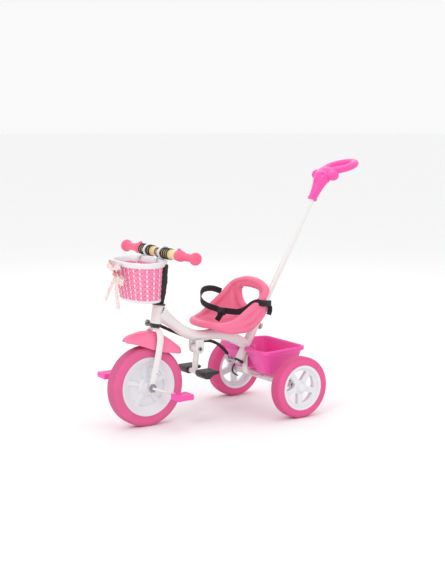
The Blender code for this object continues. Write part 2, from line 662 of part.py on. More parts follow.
# ---------------------------------------------------------------- steering linkage
ARM_SWEEP = radians(-2.3)           # so that the link follows both arms through the whole steering range
LEVER_SWEEP = radians(4.2)
EYE_R = 8.5 * MM
PIN_R = 3 * MM


def link_plate(far, boss_r, thickness):
    """A flat arm that narrows from a boss on the local Z axis to a rounded end at a point (x, y)."""
    direction = degrees(atan2(far[1], far[0]))
    outline = arc((0, 0), boss_r, direction + 80, direction + 280, 9)
    outline += arc(far, 8 * MM, direction - 80, direction + 80, 6)
    return plate(outline, thickness, "Z")


def raised(shape, height):
    bmesh.ops.translate(shape, vec=(0, 0, height), verts=shape.verts)
    return shape


def build_arm(name, far, boss_r, hole_r, low, thickness, body, at, turn, colour, metallic):
    """An arm with a hole at its boss and a bolt standing up at its end."""
    shape = raised(link_plate(far, boss_r, thickness), low + thickness / 2)
    arm = add(name, shape, colour, 0.35, body, at, turn, metallic)
    hole = tool(name + "_hole", rod(hole_r, low - 5 * MM, low + thickness + 5 * MM, 24), body, at, turn)
    combine(arm, hole, "DIFFERENCE")
    top = low + thickness
    bolt = turned([(0, low - 3.5 * MM), (6 * MM, low - 3.5 * MM), (6 * MM, low + 1 * MM),
                   (PIN_R, low + 1 * MM), (PIN_R, top + 6 * MM), (6 * MM, top + 6 * MM),
                   (6 * MM, top + 10 * MM), (0, top + 10 * MM)], 12)
    bmesh.ops.translate(bolt, vec=(far[0], far[1], 0), verts=bolt.verts)
    combine(arm, tool(name + "_bolt", bolt, body, at, turn), "UNION")


ARM_END = (-STEERING_ARM * cos(ARM_SWEEP), -STEERING_ARM * sin(ARM_SWEEP))
LEVER_END = (-LEVER_ARM * cos(LEVER_SWEEP), LEVER_ARM * sin(LEVER_SWEEP))
ARM_LOW = CROWN_TOP + GAP
LEVER_LOW = -12.3 * MM
LEVER_THICK = 5.5 * MM
ARM_THICK = 6.5 * MM


def build_linkage():
    build_arm("steering_arm", ARM_END, 15 * MM, STEERER_R + GAP, ARM_LOW, ARM_THICK, STEERING, CROWN,
              STEER_TURN, BLACK, 0.0)
    build_arm("steering_lever", LEVER_END, 16.5 * MM, PUSH_BAR_R + GAP, LEVER_LOW, LEVER_THICK, PUSH_BAR,
              SOCKET_LOW, BAR_TURN, STEEL, 1.0)
    on_arm = Vector((ARM_END[0], ARM_END[1], ARM_LOW + ARM_THICK + 3 * MM))
    on_lever = Vector((LEVER_END[0], LEVER_END[1], LEVER_LOW + LEVER_THICK + 3 * MM))
    front = CROWN + Matrix.Rotation(-RAKE, 3, "X") @ on_arm
    rear = SOCKET_LOW + Matrix.Rotation(-BAR_LEAN, 3, "X") @ on_lever
    link = empty("link_pivot", front, STEERING)
    bends = [mm(-53, -150, 300), mm(-50, -118, 284), mm(-47, -80, 266), mm(-45, -35, 246), mm(-45, 8, 233),
             mm(-45, 40, 229), mm(-45, 68, 217), mm(-45.5, 90, 199), mm(-46.5, 107, 181)]
    start = front + mm(0.6, 7.2, -0.4)
    end = rear + mm(0.2, -6.8, 3.8)
    route = smooth_path([start] + bends + [end], 2)
    last = len(route) - 1
    radii = [2.6 if index < 3 or index > last - 3 else 5.2 for index in range(len(route))]
    sections = [oval(radius * MM, radius * MM, 8) for radius in radii]
    shape = swept([point - front for point in route], sections)
    rod_piece = add("link_rod", shape, BLACK, 0.6, link, front)
    for name, at, turn, hole in (("front", front, STEER_TURN, PIN_R + 0.5 * MM),
                                 ("rear", rear, BAR_TURN, PIN_R + 1.8 * MM)):
        eye = tool("link_eye_" + name, pipe(EYE_R, hole, -2.4 * MM, 2.4 * MM, 16), link, at, turn)
        combine(rod_piece, eye, "UNION")


# ---------------------------------------------------------------- push bar
HANDLE_START = 580 * MM
RING_CENTRE = mm(0, 530, 767)
RING_TILT = radians(13)


def build_push_bar():
    shape = pipe(PUSH_BAR_R, PUSH_BAR_R - 1.5 * MM, -14 * MM, HANDLE_START + 55 * MM, 20)
    add("push_bar", shape, WHITE_PAINT, 0.3, PUSH_BAR, SOCKET_LOW, BAR_TURN)


def build_handle():
    """A moulded handle: a collar on the bar, a neck that widens into a head, and a ring to hold."""
    start = HANDLE_START
    sizes = ((0, 13, 13), (2, 15.5, 15.5), (9, 15.5, 15.5), (12, 14.5, 14.5), (34, 17, 16), (58, 22, 20),
             (78, 30, 25), (94, 34, 22), (104, 24, 14))
    rings = []
    for along, wide, deep in sizes:
        rings.append([(x, y, start + along * MM) for x, y in oval(wide * MM, deep * MM, 16)])
    handle = add("push_handle", lofted(rings), MAGENTA, 0.35, PUSH_BAR, SOCKET_LOW, BAR_TURN)
    loop = []
    for step in range(24):
        angle = 2 * pi * step / 24
        out = Vector((cos(angle), sin(angle), 0))
        hub = Vector((46 * MM * out.x, 52 * MM * out.y, 0))
        loop.append([hub + out * a + Vector((0, 0, b)) for a, b in oval(11 * MM, 9.5 * MM, 8)])
    ring = tool("handle_ring", lofted(loop, closed_loop=True), PUSH_BAR, RING_CENTRE, (RING_TILT, 0, 0))
    combine(handle, ring, "UNION")
    for name, side in (("left", 1), ("right", -1)):
        lobe = bmesh.new()
        bmesh.ops.create_uvsphere(lobe, u_segments=10, v_segments=7, radius=15 * MM)
        combine(handle, tool("handle_lobe_" + name, lobe, PUSH_BAR, mm(side * 42, 466, 746)), "UNION")
    bore = rod(PUSH_BAR_R + GAP, start - 20 * MM, start + 55.5 * MM, 20)
    combine(handle, tool("handle_bore", bore, PUSH_BAR, SOCKET_LOW, BAR_TURN), "DIFFERENCE")


def build_lock_knob():
    """A plated knob on a short screw that clamps the push bar from behind the socket."""
    body = empty("knob_axis", KNOB_AT, CENTRE)
    tip = (PUSH_BAR_R + GAP) / MM
    low = SOCKET_R / MM + 2
    profile = [(0, tip), (KNOB_SCREW_R / MM, tip), (KNOB_SCREW_R / MM, low), (9, low), (10.5, low + 3),
               (10, low + 8), (6, low + 10.5), (0, low + 11)]
    add("lock_knob", turned([(r * MM, h * MM) for r, h in profile], 16), STEEL, 0.2, body, KNOB_AT, KNOB_TURN,
        metallic=1.0)


# ---------------------------------------------------------------- footrest
FOOT_TUBE = mm(0, -47, 148)


def build_footrest():
    for name, side in (("left", 1), ("right", -1)):
        outline = [(-54, 252), (-56, 224)] + arc((-40, 221), 15, 195, 345, 7) + [(-24, 224), (-26, 252)]
        at = (side * 19.6 * MM, 0, 0)
        shape = plate([(y * MM, z * MM) for y, z in outline], 3.6 * MM)
        ear = add("footrest_bracket_" + name, shape, WHITE_PAINT, 0.3, FRAME, at)
        combine(ear, tool("pivot_hole_" + name, rod(4 * MM + GAP, -30 * MM, 30 * MM, 16, "X"), FRAME,
                          FOOTREST_PIVOT), "DIFFERENCE")
    profile = [(0, -25), (7, -25), (7, -21.8), (4, -21.8), (4, 21.8), (7, 21.8), (7, 25), (0, 25)]
    bolt = turned(profile, 16, "X")
    bmesh.ops.scale(bolt, vec=(MM, MM, MM), verts=bolt.verts)
    add("footrest_bolt", bolt, STEEL, 0.3, FRAME, FOOTREST_PIVOT, metallic=1.0)
    lean = atan2(FOOT_TUBE.y - FOOTREST_PIVOT.y, FOOTREST_PIVOT.z - FOOT_TUBE.z)
    length = (FOOT_TUBE - FOOTREST_PIVOT).length
    stem = add("footrest_stem", rod(9.5 * MM, -length, -6 * MM, 20), WHITE_PAINT, 0.3, FOOTREST,
               FOOTREST_PIVOT, (lean, 0, 0))
    combine(stem, tool("stem_lug", rod(12 * MM, -16 * MM, 16 * MM, 20, "X"), FOOTREST, FOOTREST_PIVOT),
            "UNION")
    combine(stem, tool("cross_tube", rod(8 * MM, -78 * MM, 78 * MM, 20, "X"), FOOTREST, FOOT_TUBE), "UNION")
    combine(stem, tool("lug_hole", rod(4 * MM + GAP, -40 * MM, 40 * MM, 16, "X"), FOOTREST, FOOTREST_PIVOT),
            "DIFFERENCE")
    for name, side in (("left", 1), ("right", -1)):
        build_foot_pad(name, side)


def build_foot_pad(name, side):
    """A ribbed pad, thick where the cross tube runs through it and thin towards the back."""
    outline = [(-14, 9), (-14, -3), (-9, -11), (5, -12), (12, -7), (20, 0), (40, 2), (42, 6), (40, 11),
               (-9, 11)]
    layers = []
    for x, scale in ((-29, 0.94), (-26, 1), (26, 1), (29, 0.94)):
        layers.append([(x * MM, y * scale * MM, z * scale * MM) for y, z in outline])
    at = FOOT_TUBE + mm(side * 53, 0, 0)
    pad = add("footrest_pad_" + name, lofted(layers), BLACK, 0.6, FOOTREST, at)
    ends = sorted((-side * 40 * MM, side * 25.3 * MM))
    combine(pad, tool("pad_bore_" + name, rod(8 * MM + GAP, ends[0], ends[1], 20, "X"), FOOTREST, at),
            "DIFFERENCE")


# ---------------------------------------------------------------- bin
BIN_FLOOR_Z = 126 * MM
BIN_WALL = 2.6


def bin_ring(front, rear, half_front, half_rear, notch, notch_back, corner, z, inset=0.0):
    """The bin's plan with round corners and a notch in front for the push bar's socket."""
    f = front + inset
    r = rear - inset
    wf = half_front - inset
    wr = half_rear - inset
    n = notch + inset
    nb = notch_back + inset
    c = corner - inset
    right = [(n, nb), (n, f)]
    right += arc((wf - c, f + c), c, -90, 0, 3)
    right += arc((wr - c, r - c), c, 0, 90, 3)
    left = [(-x, y) for x, y in reversed(right)]
    return [mm(x, y, z) for x, y in right + left]


def build_bin():
    floor = (167, 285, 100, 88, 32, 190, 18)
    under_rim = (133, 306, 125, 108, 21, 172, 22)
    flange = (127, 312, 131, 114, 20, 171, 26)
    rings = [bin_ring(*floor, 126), bin_ring(*under_rim, 201), bin_ring(*flange, 202), bin_ring(*flange, 208),
             bin_ring(*under_rim, 209, BIN_WALL - 1), bin_ring(*under_rim, 201, BIN_WALL),
             bin_ring(*floor, 126 + BIN_WALL, BIN_WALL)]
    rear_bin = add("bin", lofted(rings), MAGENTA, 0.35, FRAME)
    tube_top = REAR_WHEEL_R + AXLE_TUBE_R + GAP
    for name, side in (("left", 1), ("right", -1)):
        height = BIN_FLOOR_Z + 1 * MM - tube_top
        foot = box((24 * MM, 20 * MM, height), (0, 0, tube_top + height / 2))
        combine(rear_bin, tool("bin_foot_" + name, foot, FRAME, (side * 62 * MM, REAR_AXLE_Y, 0)), "UNION")


# ---------------------------------------------------------------- seat and harness
SEAT_ROWS = [  # rim half width, rim y, rim z, middle y, middle z, from the nose to the top of the back
    (22, -48, 305, -51, 305), (50, -38, 305, -38, 308), (74, -15, 303, -10, 300), (90, 12, 303, 22, 292),
    (101, 38, 311, 55, 286), (105, 57, 327, 88, 283), (106, 80, 347, 116, 286), (106, 105, 366, 141, 298),
    (105, 129, 382, 156, 318), (103, 148, 394, 164, 338), (96, 160, 403, 169, 358),
    (85, 167, 411, 173, 376), (68, 172, 419, 176, 396), (46, 176, 426, 179, 414), (20, 179, 430, 181, 428)]
SEAT_COLUMNS = 12
SEAT_WALL = 7 * MM


def seat_point(row, column):
    half, rim_y, rim_z, mid_y, mid_z = row
    across = 2 * column / SEAT_COLUMNS - 1
    rise = abs(across) ** 2.3
    out = half * across * (1.25 - 0.25 * abs(across))
    return mm(out, mid_y + (rim_y - mid_y) * rise, mid_z + (rim_z - mid_z) * rise)


def build_seat():
    """A bucket seat moulded in one piece, with a grab opening through its back."""
    shape = bmesh.new()
    grid = []
    for row in SEAT_ROWS:
        grid.append([shape.verts.new(seat_point(row, column)) for column in range(SEAT_COLUMNS + 1)])
    for r in range(len(SEAT_ROWS) - 1):
        for c in range(SEAT_COLUMNS):
            if 9 <= r <= 11 and abs(c + 0.5 - SEAT_COLUMNS / 2) < 2.2:
                continue
            shape.faces.new((grid[r][c], grid[r][c + 1], grid[r + 1][c + 1], grid[r + 1][c]))
    seat = add("seat", shape, PINK, 0.35, FRAME, smooth=60)
    skin = seat.modifiers.new("wall", "SOLIDIFY")
    skin.thickness = SEAT_WALL
    skin.offset = 0
    slot = webbing(STRAP_LEFT, WEBBING_WIDE + 2 * MM, WEBBING_THICK + 2 * MM)
    combine(seat, tool("harness_slot", slot, FRAME), "DIFFERENCE")


def build_seat_saddle():
    """A steel strap between the main tube and the underside of the seat."""
    route = [mm(0, 8, 281.6), mm(0, 30, 281.2), mm(0, 50, 278), mm(0, 66, 274.2)]
    section = [(-15 * MM, -1.4 * MM), (15 * MM, -1.4 * MM), (15 * MM, 1.4 * MM), (-15 * MM, 1.4 * MM)]
    add("seat_saddle", swept(route, section), STEEL, 0.4, FRAME, metallic=1.0)


WEBBING_WIDE = 19 * MM
WEBBING_THICK = 2.4 * MM
STRAP_LEFT = [mm(114, 160, 352), mm(115, 146, 361), mm(110, 128, 362), mm(92, 109, 349), mm(70, 92, 336),
              mm(52, 84, 331), mm(30, 73, 333), mm(17, 64, 333)]
STRAP_RIGHT = [mm(-14, 44, 338), mm(-40, 28, 346), mm(-66, 24, 356), mm(-88, 33, 372), mm(-103, 52, 386),
               mm(-112, 80, 388), mm(-116, 107, 380), mm(-117, 130, 372)]


def webbing(points, wide=WEBBING_WIDE, thick=WEBBING_THICK):
    """A flat strap along a route, standing on edge."""
    outlines = []
    path = smooth_path(points, 2)
    for index, point in enumerate(path):
        along = (path[min(index + 1, len(path) - 1)] - path[max(index - 1, 0)]).normalized()
        edge = Vector((0, 0, 1)) - along * along.z
        edge.normalize()
        face = along.cross(edge)
        outlines.append([point + edge * a * wide / 2 + face * b * thick / 2
                         for a, b in ((-1, -1), (1, -1), (1, 1), (-1, 1))])
    return lofted(outlines)


def build_harness():
    add("harness_strap_left", webbing(STRAP_LEFT), BLACK, 0.8, FRAME)
    add("harness_strap_right", webbing(STRAP_RIGHT), BLACK, 0.8, FRAME)
    buckle = rounded_box((28 * MM, 9 * MM, 26 * MM), (0, 0, 0), 2.5 * MM, 1)
    add("harness_buckle", buckle, BLACK, 0.4, FRAME, mm(1.5, 54, 331), (0, 0, radians(28)))


# ---------------------------------------------------------------- wheel-lock levers
def build_brake_lever(name, side):
    """A bent wire lever beside a rear wheel; its top eye turns on a pin welded to the axle tube."""
    pivot = BRAKE_PIVOT + mm(side * 148, 0, 0)
    body = empty("brake_axis_" + name, pivot, CENTRE)
    curve = [mm(0, 0, 0), mm(0, -9, -5), mm(0, -15, -16), mm(0, -14, -28), mm(0, -4, -38), mm(0, 8, -44)]
    route = smooth_path(curve, 3)
    lever = add("brake_lever_" + name, swept(route, oval(2.8 * MM, 2.8 * MM, 8)), BLACK, 0.5, body, pivot)
    combine(lever, tool("brake_eye_" + name, rod(5 * MM, -4 * MM, 4 * MM, 12, "X"), body, pivot), "UNION")
    hole = rod(BRAKE_PIN_R + GAP, -8 * MM, 8 * MM, 12, "X")
    combine(lever, tool("brake_eye_hole_" + name, hole, body, pivot), "DIFFERENCE")


build_head()
build_main_tube()
build_socket()
build_axle_stay()
build_rear_axle()
build_front_wheel()
build_crank_axle()
build_fork()
build_steering_column()
build_handlebar()
build_basket()
build_bow()
build_fender()
build_linkage()
build_push_bar()
build_handle()
build_lock_knob()
build_footrest()
build_bin()
build_seat()
build_seat_saddle()
build_harness()
for wheel_name, wheel_side in (("left", 1), ("right", -1)):
    build_hub_washer(wheel_name, wheel_side)
    build_pedal("pedal_" + wheel_name, wheel_side)
    build_rear_wheel(wheel_name, wheel_side)
    build_brake_lever(wheel_name, wheel_side)
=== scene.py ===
"""The looks of a child's tricycle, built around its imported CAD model.

Places are millimetres from the point on the ground midway between the axles, turned into the row frame by mm().
The rider faces -Y, +X is the rider's left and +Z is up.
"""
import json
from math import atan2, cos, degrees, pi, radians, sin, sqrt

import bmesh
import bpy
from mathutils import Euler, Matrix, Vector


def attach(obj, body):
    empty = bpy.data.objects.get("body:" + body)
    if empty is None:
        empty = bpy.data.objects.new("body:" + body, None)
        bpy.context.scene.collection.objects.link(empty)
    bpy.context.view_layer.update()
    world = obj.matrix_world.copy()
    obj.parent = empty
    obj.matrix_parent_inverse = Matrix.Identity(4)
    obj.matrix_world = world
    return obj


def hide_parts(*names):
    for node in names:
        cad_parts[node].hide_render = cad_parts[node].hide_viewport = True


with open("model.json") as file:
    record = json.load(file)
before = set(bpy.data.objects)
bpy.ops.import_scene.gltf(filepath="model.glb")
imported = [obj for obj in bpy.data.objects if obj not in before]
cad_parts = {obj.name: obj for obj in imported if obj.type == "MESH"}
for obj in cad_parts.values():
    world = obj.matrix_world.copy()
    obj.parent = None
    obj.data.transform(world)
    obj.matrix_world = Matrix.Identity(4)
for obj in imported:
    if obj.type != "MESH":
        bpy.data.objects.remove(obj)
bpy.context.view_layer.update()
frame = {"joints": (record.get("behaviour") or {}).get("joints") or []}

# ---------------------------------------------------------------- the frame's own places
MM = 0.001
GAP = 0.3                                   # mm between pieces that touch
JOINTS = {joint["name"]: joint for joint in frame["joints"]}


def pivot(name):
    return Vector(JOINTS[name]["pos_m"])


FRONT_AXLE = pivot("front_wheel_spin")
REAR_AXLE = {"left": pivot("rear_wheel_left_spin"), "right": pivot("rear_wheel_right_spin")}
BETWEEN_AXLES = Vector((0, (FRONT_AXLE.y + REAR_AXLE["left"].y) / 2, 0))
SIDES = (("left", 1), ("right", -1))


def mm(x, y, z):
    return Vector((x, y, z)) * MM + BETWEEN_AXLES


def frame_along(joint, at):
    """Millimetre axes with Z along a joint's axis, in the plane of symmetry, and the origin at a point."""
    axis = JOINTS[joint]["axis"]
    return Matrix.LocRotScale(at, Euler((-atan2(axis[1], axis[2]), 0, 0)), Vector((MM, MM, MM)))


def upright(at):
    return Matrix.LocRotScale(at, None, Vector((MM, MM, MM)))


CROWN_HEIGHT = 300 * MM
STEER_AT = pivot("steering")
STEER_AXIS = Vector(JOINTS["steering"]["axis"])
CROWN = STEER_AT + STEER_AXIS * ((CROWN_HEIGHT - STEER_AT.z) / STEER_AXIS.z)
STEER = frame_along("steering", CROWN)
HEAD = frame_along("steering", STEER_AT)
BAR = frame_along("push_bar_turn", pivot("push_bar_turn"))
GROUND = upright(BETWEEN_AXLES)
HANDLEBAR = upright(mm(0, -172, 535.5))
SOCKET_R, SOCKET_LENGTH, PUSH_BAR_R, STEERER_R = 14.5, 139, 9.5, 11
FRONT_TYRE_R, FRONT_RIM_R, FRONT_HALF_WIDTH = 125, 92, 23
REAR_TYRE_R, REAR_RIM_R, REAR_HALF_WIDTH, TREAD_HALF = 97.5, 72, 21.5, 18
BOW_Y, BOW_Z, BOW_X = -316, 482, -3            # the knot of the bow, on the front of the basket
TREAD_DEPTH = 2.0
FRAME, STEERING = "frame_body", "steering_body"
FOOT_PIVOT = pivot("footrest_fold")
FOOT_TUBE = mm(0, -47, 148)


# ---------------------------------------------------------------- materials
def node(tree, kind, settings=(), **inputs):
    """A shader node with its settings, and each input given a value or linked to a socket."""
    made = tree.nodes.new(kind)
    for key, value in settings:
        setattr(made, key, value)
    for key, value in inputs.items():
        name = key.replace("_", " ")
        socket = made.inputs[int(key[1:])] if key[0] == "i" and key[1:].isdigit() else made.inputs[name]
        if isinstance(value, bpy.types.NodeSocket):
            tree.links.new(value, socket)
        else:
            socket.default_value = value
    return made


def maths(tree, operation, a, b=0.0):
    return node(tree, "ShaderNodeMath", [("operation", operation)], i0=a, i1=b).outputs[0]


def noise(tree, where, scale, detail=3.0):
    return node(tree, "ShaderNodeTexNoise", Vector=where, Scale=scale, Detail=detail).outputs["Fac"]


def spread(tree, value, low, high):
    """A noise value's middle range mapped to a range."""
    return node(tree, "ShaderNodeMapRange", Value=value, From_Min=0.3, From_Max=0.7, To_Min=low,
                To_Max=high).outputs["Result"]


def shade(colour, factor):
    return tuple(min(1.0, channel * factor) for channel in colour) + (1,)


def tinted(tree, value, colour, mottling):
    """The colour, a little darker and lighter with the value."""
    ramp = node(tree, "ShaderNodeValToRGB", Fac=value)
    ramp.color_ramp.elements[0].position = 0.3
    ramp.color_ramp.elements[1].position = 0.7
    ramp.color_ramp.elements[0].color = shade(colour, 1 - mottling)
    ramp.color_ramp.elements[1].color = shade(colour, 1 + mottling)
    return ramp.outputs["Color"]


def start(name, roughness, metallic=0.0, coat=0.0, specular=0.5):
    material = bpy.data.materials.new(name)
    material.use_nodes = True
    tree = material.node_tree
    shader = tree.nodes["Principled BSDF"]
    shader.inputs["Roughness"].default_value = roughness
    shader.inputs["Metallic"].default_value = metallic
    shader.inputs["Coat Weight"].default_value = coat
    shader.inputs["Coat Roughness"].default_value = 0.12
    shader.inputs["Specular IOR Level"].default_value = specular
    where = node(tree, "ShaderNodeTexCoord").outputs["Object"]
    metres = node(tree, "ShaderNodeVectorMath", [("operation", "SCALE")], i0=where, Scale=MM).outputs[0]
    return material, tree, shader, metres


def bump(tree, shader, height, depth, below=None):
    """Adds relief of a depth in millimetres to a shader, on top of another relief if there is one."""
    made = node(tree, "ShaderNodeBump", Height=height, Distance=depth * MM, Strength=1.0)
    if below:
        tree.links.new(below, made.inputs["Normal"])
    tree.links.new(made.outputs[0], shader.inputs["Normal"])
    return made.outputs[0]


def finish(tree, shader, metres, colour, roughness, mottling, grain, depth):
    """Broad colour and gloss variation, and fine grain of a pitch and depth in millimetres."""
    broad = noise(tree, metres, 14, 4)
    tree.links.new(tinted(tree, broad, colour, mottling), shader.inputs["Base Color"])
    fine = noise(tree, metres, 1 / (grain * MM), 2)
    tree.links.new(spread(tree, noise(tree, metres, 60, 5), roughness * 0.85, roughness * 1.15),
                   shader.inputs["Roughness"])
    return bump(tree, shader, fine, depth)


def moulded(name, colour, roughness=0.3, mottling=0.03, grain=1.2, depth=0.03, coat=0.0, metallic=0.0):
    """Paint, moulded plastic or plated metal, by its colour, gloss and grain."""
    material, tree, shader, metres = start(name, roughness, metallic, coat)
    finish(tree, shader, metres, colour, roughness, mottling, grain, depth)
    return material


def foam(name, colour, tyre_r):
    """Foam rubber with a fine open grain, and a block tread round the crown of the tyre."""
    material, tree, shader, metres = start(name, 0.62, specular=0.35)
    grain = finish(tree, shader, metres, colour, 0.62, 0.05, 0.9, 0.12)
    split = node(tree, "ShaderNodeSeparateXYZ", Vector=node(tree, "ShaderNodeTexCoord").outputs["Object"])
    x, y, z = split.outputs
    arc_length = maths(tree, "MULTIPLY", maths(tree, "ARCTAN2", z, y), tyre_r)
    radial = maths(tree, "SQRT", maths(tree, "ADD", maths(tree, "MULTIPLY", y, y), maths(tree, "MULTIPLY", z, z)))
    wrapped = node(tree, "ShaderNodeCombineXYZ", X=arc_length, Y=x).outputs[0]
    bricks = node(tree, "ShaderNodeTexBrick", Vector=wrapped, Scale=1.0, Mortar_Size=1.1, Mortar_Smooth=0.4,
                  Brick_Width=9.8, Row_Height=5.4)
    crown = node(tree, "ShaderNodeMapRange", Value=radial, From_Min=tyre_r - 5.5, From_Max=tyre_r - 2.5,
                 To_Min=0.0, To_Max=1.0).outputs["Result"]
    groove = maths(tree, "MULTIPLY", bricks.outputs["Fac"], maths(tree, "MULTIPLY", crown, -1.0))
    bump(tree, shader, groove, TREAD_DEPTH, grain)
    return material


def woven(name, colour, pitch, roughness=0.85, sheen=0.15, depth=0.22):
    """Cloth woven along and across the mesh's own "lay" coordinates, which are in millimetres."""
    material, tree, shader, metres = start(name, roughness, specular=0.2)
    shader.inputs["Sheen Weight"].default_value = sheen
    lay = node(tree, "ShaderNodeAttribute", [("attribute_name", "lay")]).outputs["Vector"]
    along, across, unused = node(tree, "ShaderNodeSeparateXYZ", Vector=lay).outputs
    turn = 2 * pi / pitch
    slant = maths(tree, "ADD", along, maths(tree, "PINGPONG", across, 2.5 * pitch))
    twill = maths(tree, "SINE", maths(tree, "MULTIPLY", slant, turn))
    yarn = maths(tree, "SINE", maths(tree, "MULTIPLY", across, turn * 0.8))
    height = maths(tree, "ADD", twill, maths(tree, "MULTIPLY", yarn, 0.5))
    mottled = noise(tree, metres, 250, 3)
    tree.links.new(tinted(tree, mottled, colour, 0.3), shader.inputs["Base Color"])
    bump(tree, shader, height, depth)
    return material


WHITE_PAINT = moulded("white_enamel", (0.82, 0.805, 0.79), 0.24, 0.012, 2.5, 0.008, coat=0.5)
WHITE_PLASTIC = moulded("white_moulding", (0.80, 0.80, 0.83), 0.32, 0.012, 1.1, 0.012)
SEAT_PINK = moulded("seat_pink", (0.88, 0.17, 0.31), 0.36, 0.02, 0.9, 0.02)
FENDER_PINK = moulded("fender_pink", (0.94, 0.20, 0.37), 0.33, 0.02, 1.0, 0.006)
GRIP_PINK = moulded("grip_pink", (0.88, 0.12, 0.24), 0.42, 0.05, 0.8, 0.06)
MAGENTA = moulded("magenta_moulding", (0.90, 0.08, 0.42), 0.33, 0.015, 1.2, 0.006)
BASKET_PINK = moulded("basket_strip", (0.95, 0.26, 0.45), 0.45, 0.04, 0.7, 0.04)
PALE_PINK = moulded("basket_stake", (0.95, 0.72, 0.80), 0.4, 0.03, 1.0, 0.01)
BLACK = moulded("black_moulding", (0.018, 0.018, 0.02), 0.38, 0.2, 0.8, 0.08)
RUBBER = moulded("black_rubber_skin", (0.012, 0.012, 0.012), 0.6, 0.25, 0.6, 0.1)
BLACK_STEEL = moulded("black_enamel", (0.012, 0.012, 0.013), 0.3, 0.2, 2.0, 0.03, coat=0.3)
STEEL = moulded("zinc_plate", (0.36, 0.36, 0.37), 0.3, 0.2, 0.5, 0.03, metallic=1.0)
CHROME = moulded("chrome_plate", (0.70, 0.69, 0.68), 0.1, 0.05, 3.0, 0.01, metallic=1.0)
CREAM = moulded("cream_padding_skin", (0.86, 0.66, 0.33), 0.4, 0.18, 1.5, 0.1)
WEBBING = woven("black_webbing_weave", (0.022, 0.023, 0.027), 1.5)
RIBBON = woven("pink_ribbon_weave", (1.0, 0.66, 0.64), 0.7, 0.45, 0.1, 0.02)
# The knot wrap is the same ribbon: this darker red copy of its colour is painted shade for the knot's folds.
RIBBON_PAINTED_SHADE = woven("pink_ribbon_painted_shade_weave", (0.95, 0.28, 0.30), 0.7, 0.45, 0.1, 0.02)
FRONT_FOAM = foam("front_foam", (0.74, 0.12, 0.29), FRONT_TYRE_R)
REAR_FOAM = foam("rear_foam", (0.78, 0.10, 0.29), REAR_TYRE_R)


# ---------------------------------------------------------------- mesh helpers
def lofted(rings, closed_loop=False, caps=True):
    """A skin over rings of points, as a bmesh. Open lofts get a cap on each end."""
    shape = bmesh.new()
    made = [[shape.verts.new(point) for point in ring] for ring in rings]
    count = len(made[0])
    pairs = list(zip(made, made[1:])) + ([(made[-1], made[0])] if closed_loop else [])
    for low, high in pairs:
        for i in range(count):
            j = (i + 1) % count
            shape.faces.new((low[i], low[j], high[j], high[i]))
    if caps and not closed_loop:
        shape.faces.new(made[0])
        shape.faces.new(made[-1])
    return shape


def soften(points, radius, steps=3, closed=True):
    """An outline with each corner cut back by a radius and rounded."""
    result = []
    last = len(points) - 1
    for index, point in enumerate(points):
        here = Vector(point)
        if not closed and index in (0, last):
            result.append(tuple(here))
            continue
        before = Vector(points[index - 1]) - here
        after = Vector(points[(index + 1) % len(points)]) - here
        reach = min(radius, 0.45 * before.length, 0.45 * after.length)
        a = here + before.normalized() * reach
        b = here + after.normalized() * reach
        for step in range(steps + 1):
            t = step / steps
            result.append(tuple(a * (1 - t) ** 2 + here * 2 * t * (1 - t) + b * t ** 2))
    return result


def turned(profile, segments=64, axis="Z", corner=0.6):
    """A closed profile of (radius, height) spun round an axis, with its corners rounded."""
    on_axis = min(radius for radius, height in profile) < 1e-6
    outline = soften(profile, corner, 2, closed=not on_axis)
    rings = []
    for step in range(segments):
        angle = 2 * pi * step / segments
        rings.append([(max(r, 0.01) * cos(angle), max(r, 0.01) * sin(angle), h) for r, h in outline])
    shape = lofted(rings, closed_loop=True) if not on_axis else open_turn(rings)
    if axis == "X":
        bmesh.ops.rotate(shape, verts=shape.verts, matrix=Matrix.Rotation(pi / 2, 3, "Y"))
    return shape


def open_turn(rings):
    """Rings that run from pole to pole, closed at both poles."""
    shape = bmesh.new()
    made = [[shape.verts.new(point) for point in ring] for ring in rings]
    for left, right in zip(made, made[1:] + made[:1]):
        for low in range(len(left) - 1):
            shape.faces.new((left[low], right[low], right[low + 1], left[low + 1]))
    shape.faces.new([ring[0] for ring in made])
    shape.faces.new([ring[-1] for ring in made])
    return shape


def rod(radius, low, high, axis="Z", segments=48):
    return turned([(0, low), (radius, low), (radius, high), (0, high)], segments, axis)


def pipe(outer, inner, low, high, axis="Z", segments=64):
    return turned([(inner, low), (outer, low), (outer, high), (inner, high)], segments, axis)


def curve_through(points, steps=8):
    """Points on a Catmull-Rom curve through the given ones."""
    knots = [Vector(point) for point in points]
    knots = [2 * knots[0] - knots[1]] + knots + [2 * knots[-1] - knots[-2]]
    path = []
    for a, b, c, d in zip(knots, knots[1:], knots[2:], knots[3:]):
        for step in range(steps):
            t = step / steps
            path.append(0.5 * (2 * b + (c - a) * t + (2 * a - 5 * b + 4 * c - d) * t * t
                               + (3 * b - a - 3 * c + d) * t ** 3))
    path.append(knots[-2])
    return path


def oval(half_wide, half_tall, segments=24):
    return [(half_wide * cos(2 * pi * i / segments), half_tall * sin(2 * pi * i / segments)) for i in range(segments)]


def swept(path, section, side=(1, 0, 0), closed_loop=False):
    """A bar along a path. The section is one outline of (side, upright) points, or a function of 0 to 1 along."""
    path = [Vector(point) for point in path]
    across = Vector(side)
    rings = []
    last = len(path) - 1
    for index, point in enumerate(path):
        before = path[index - 1] if index or closed_loop else point
        after = path[(index + 1) % len(path)] if index < last or closed_loop else point
        along = (after - before).normalized()
        across = (across - along * across.dot(along)).normalized()
        up = along.cross(across)
        outline = section(index / last) if callable(section) else section
        rings.append([point + across * u + up * v for u, v in outline])
    return lofted(rings, closed_loop)


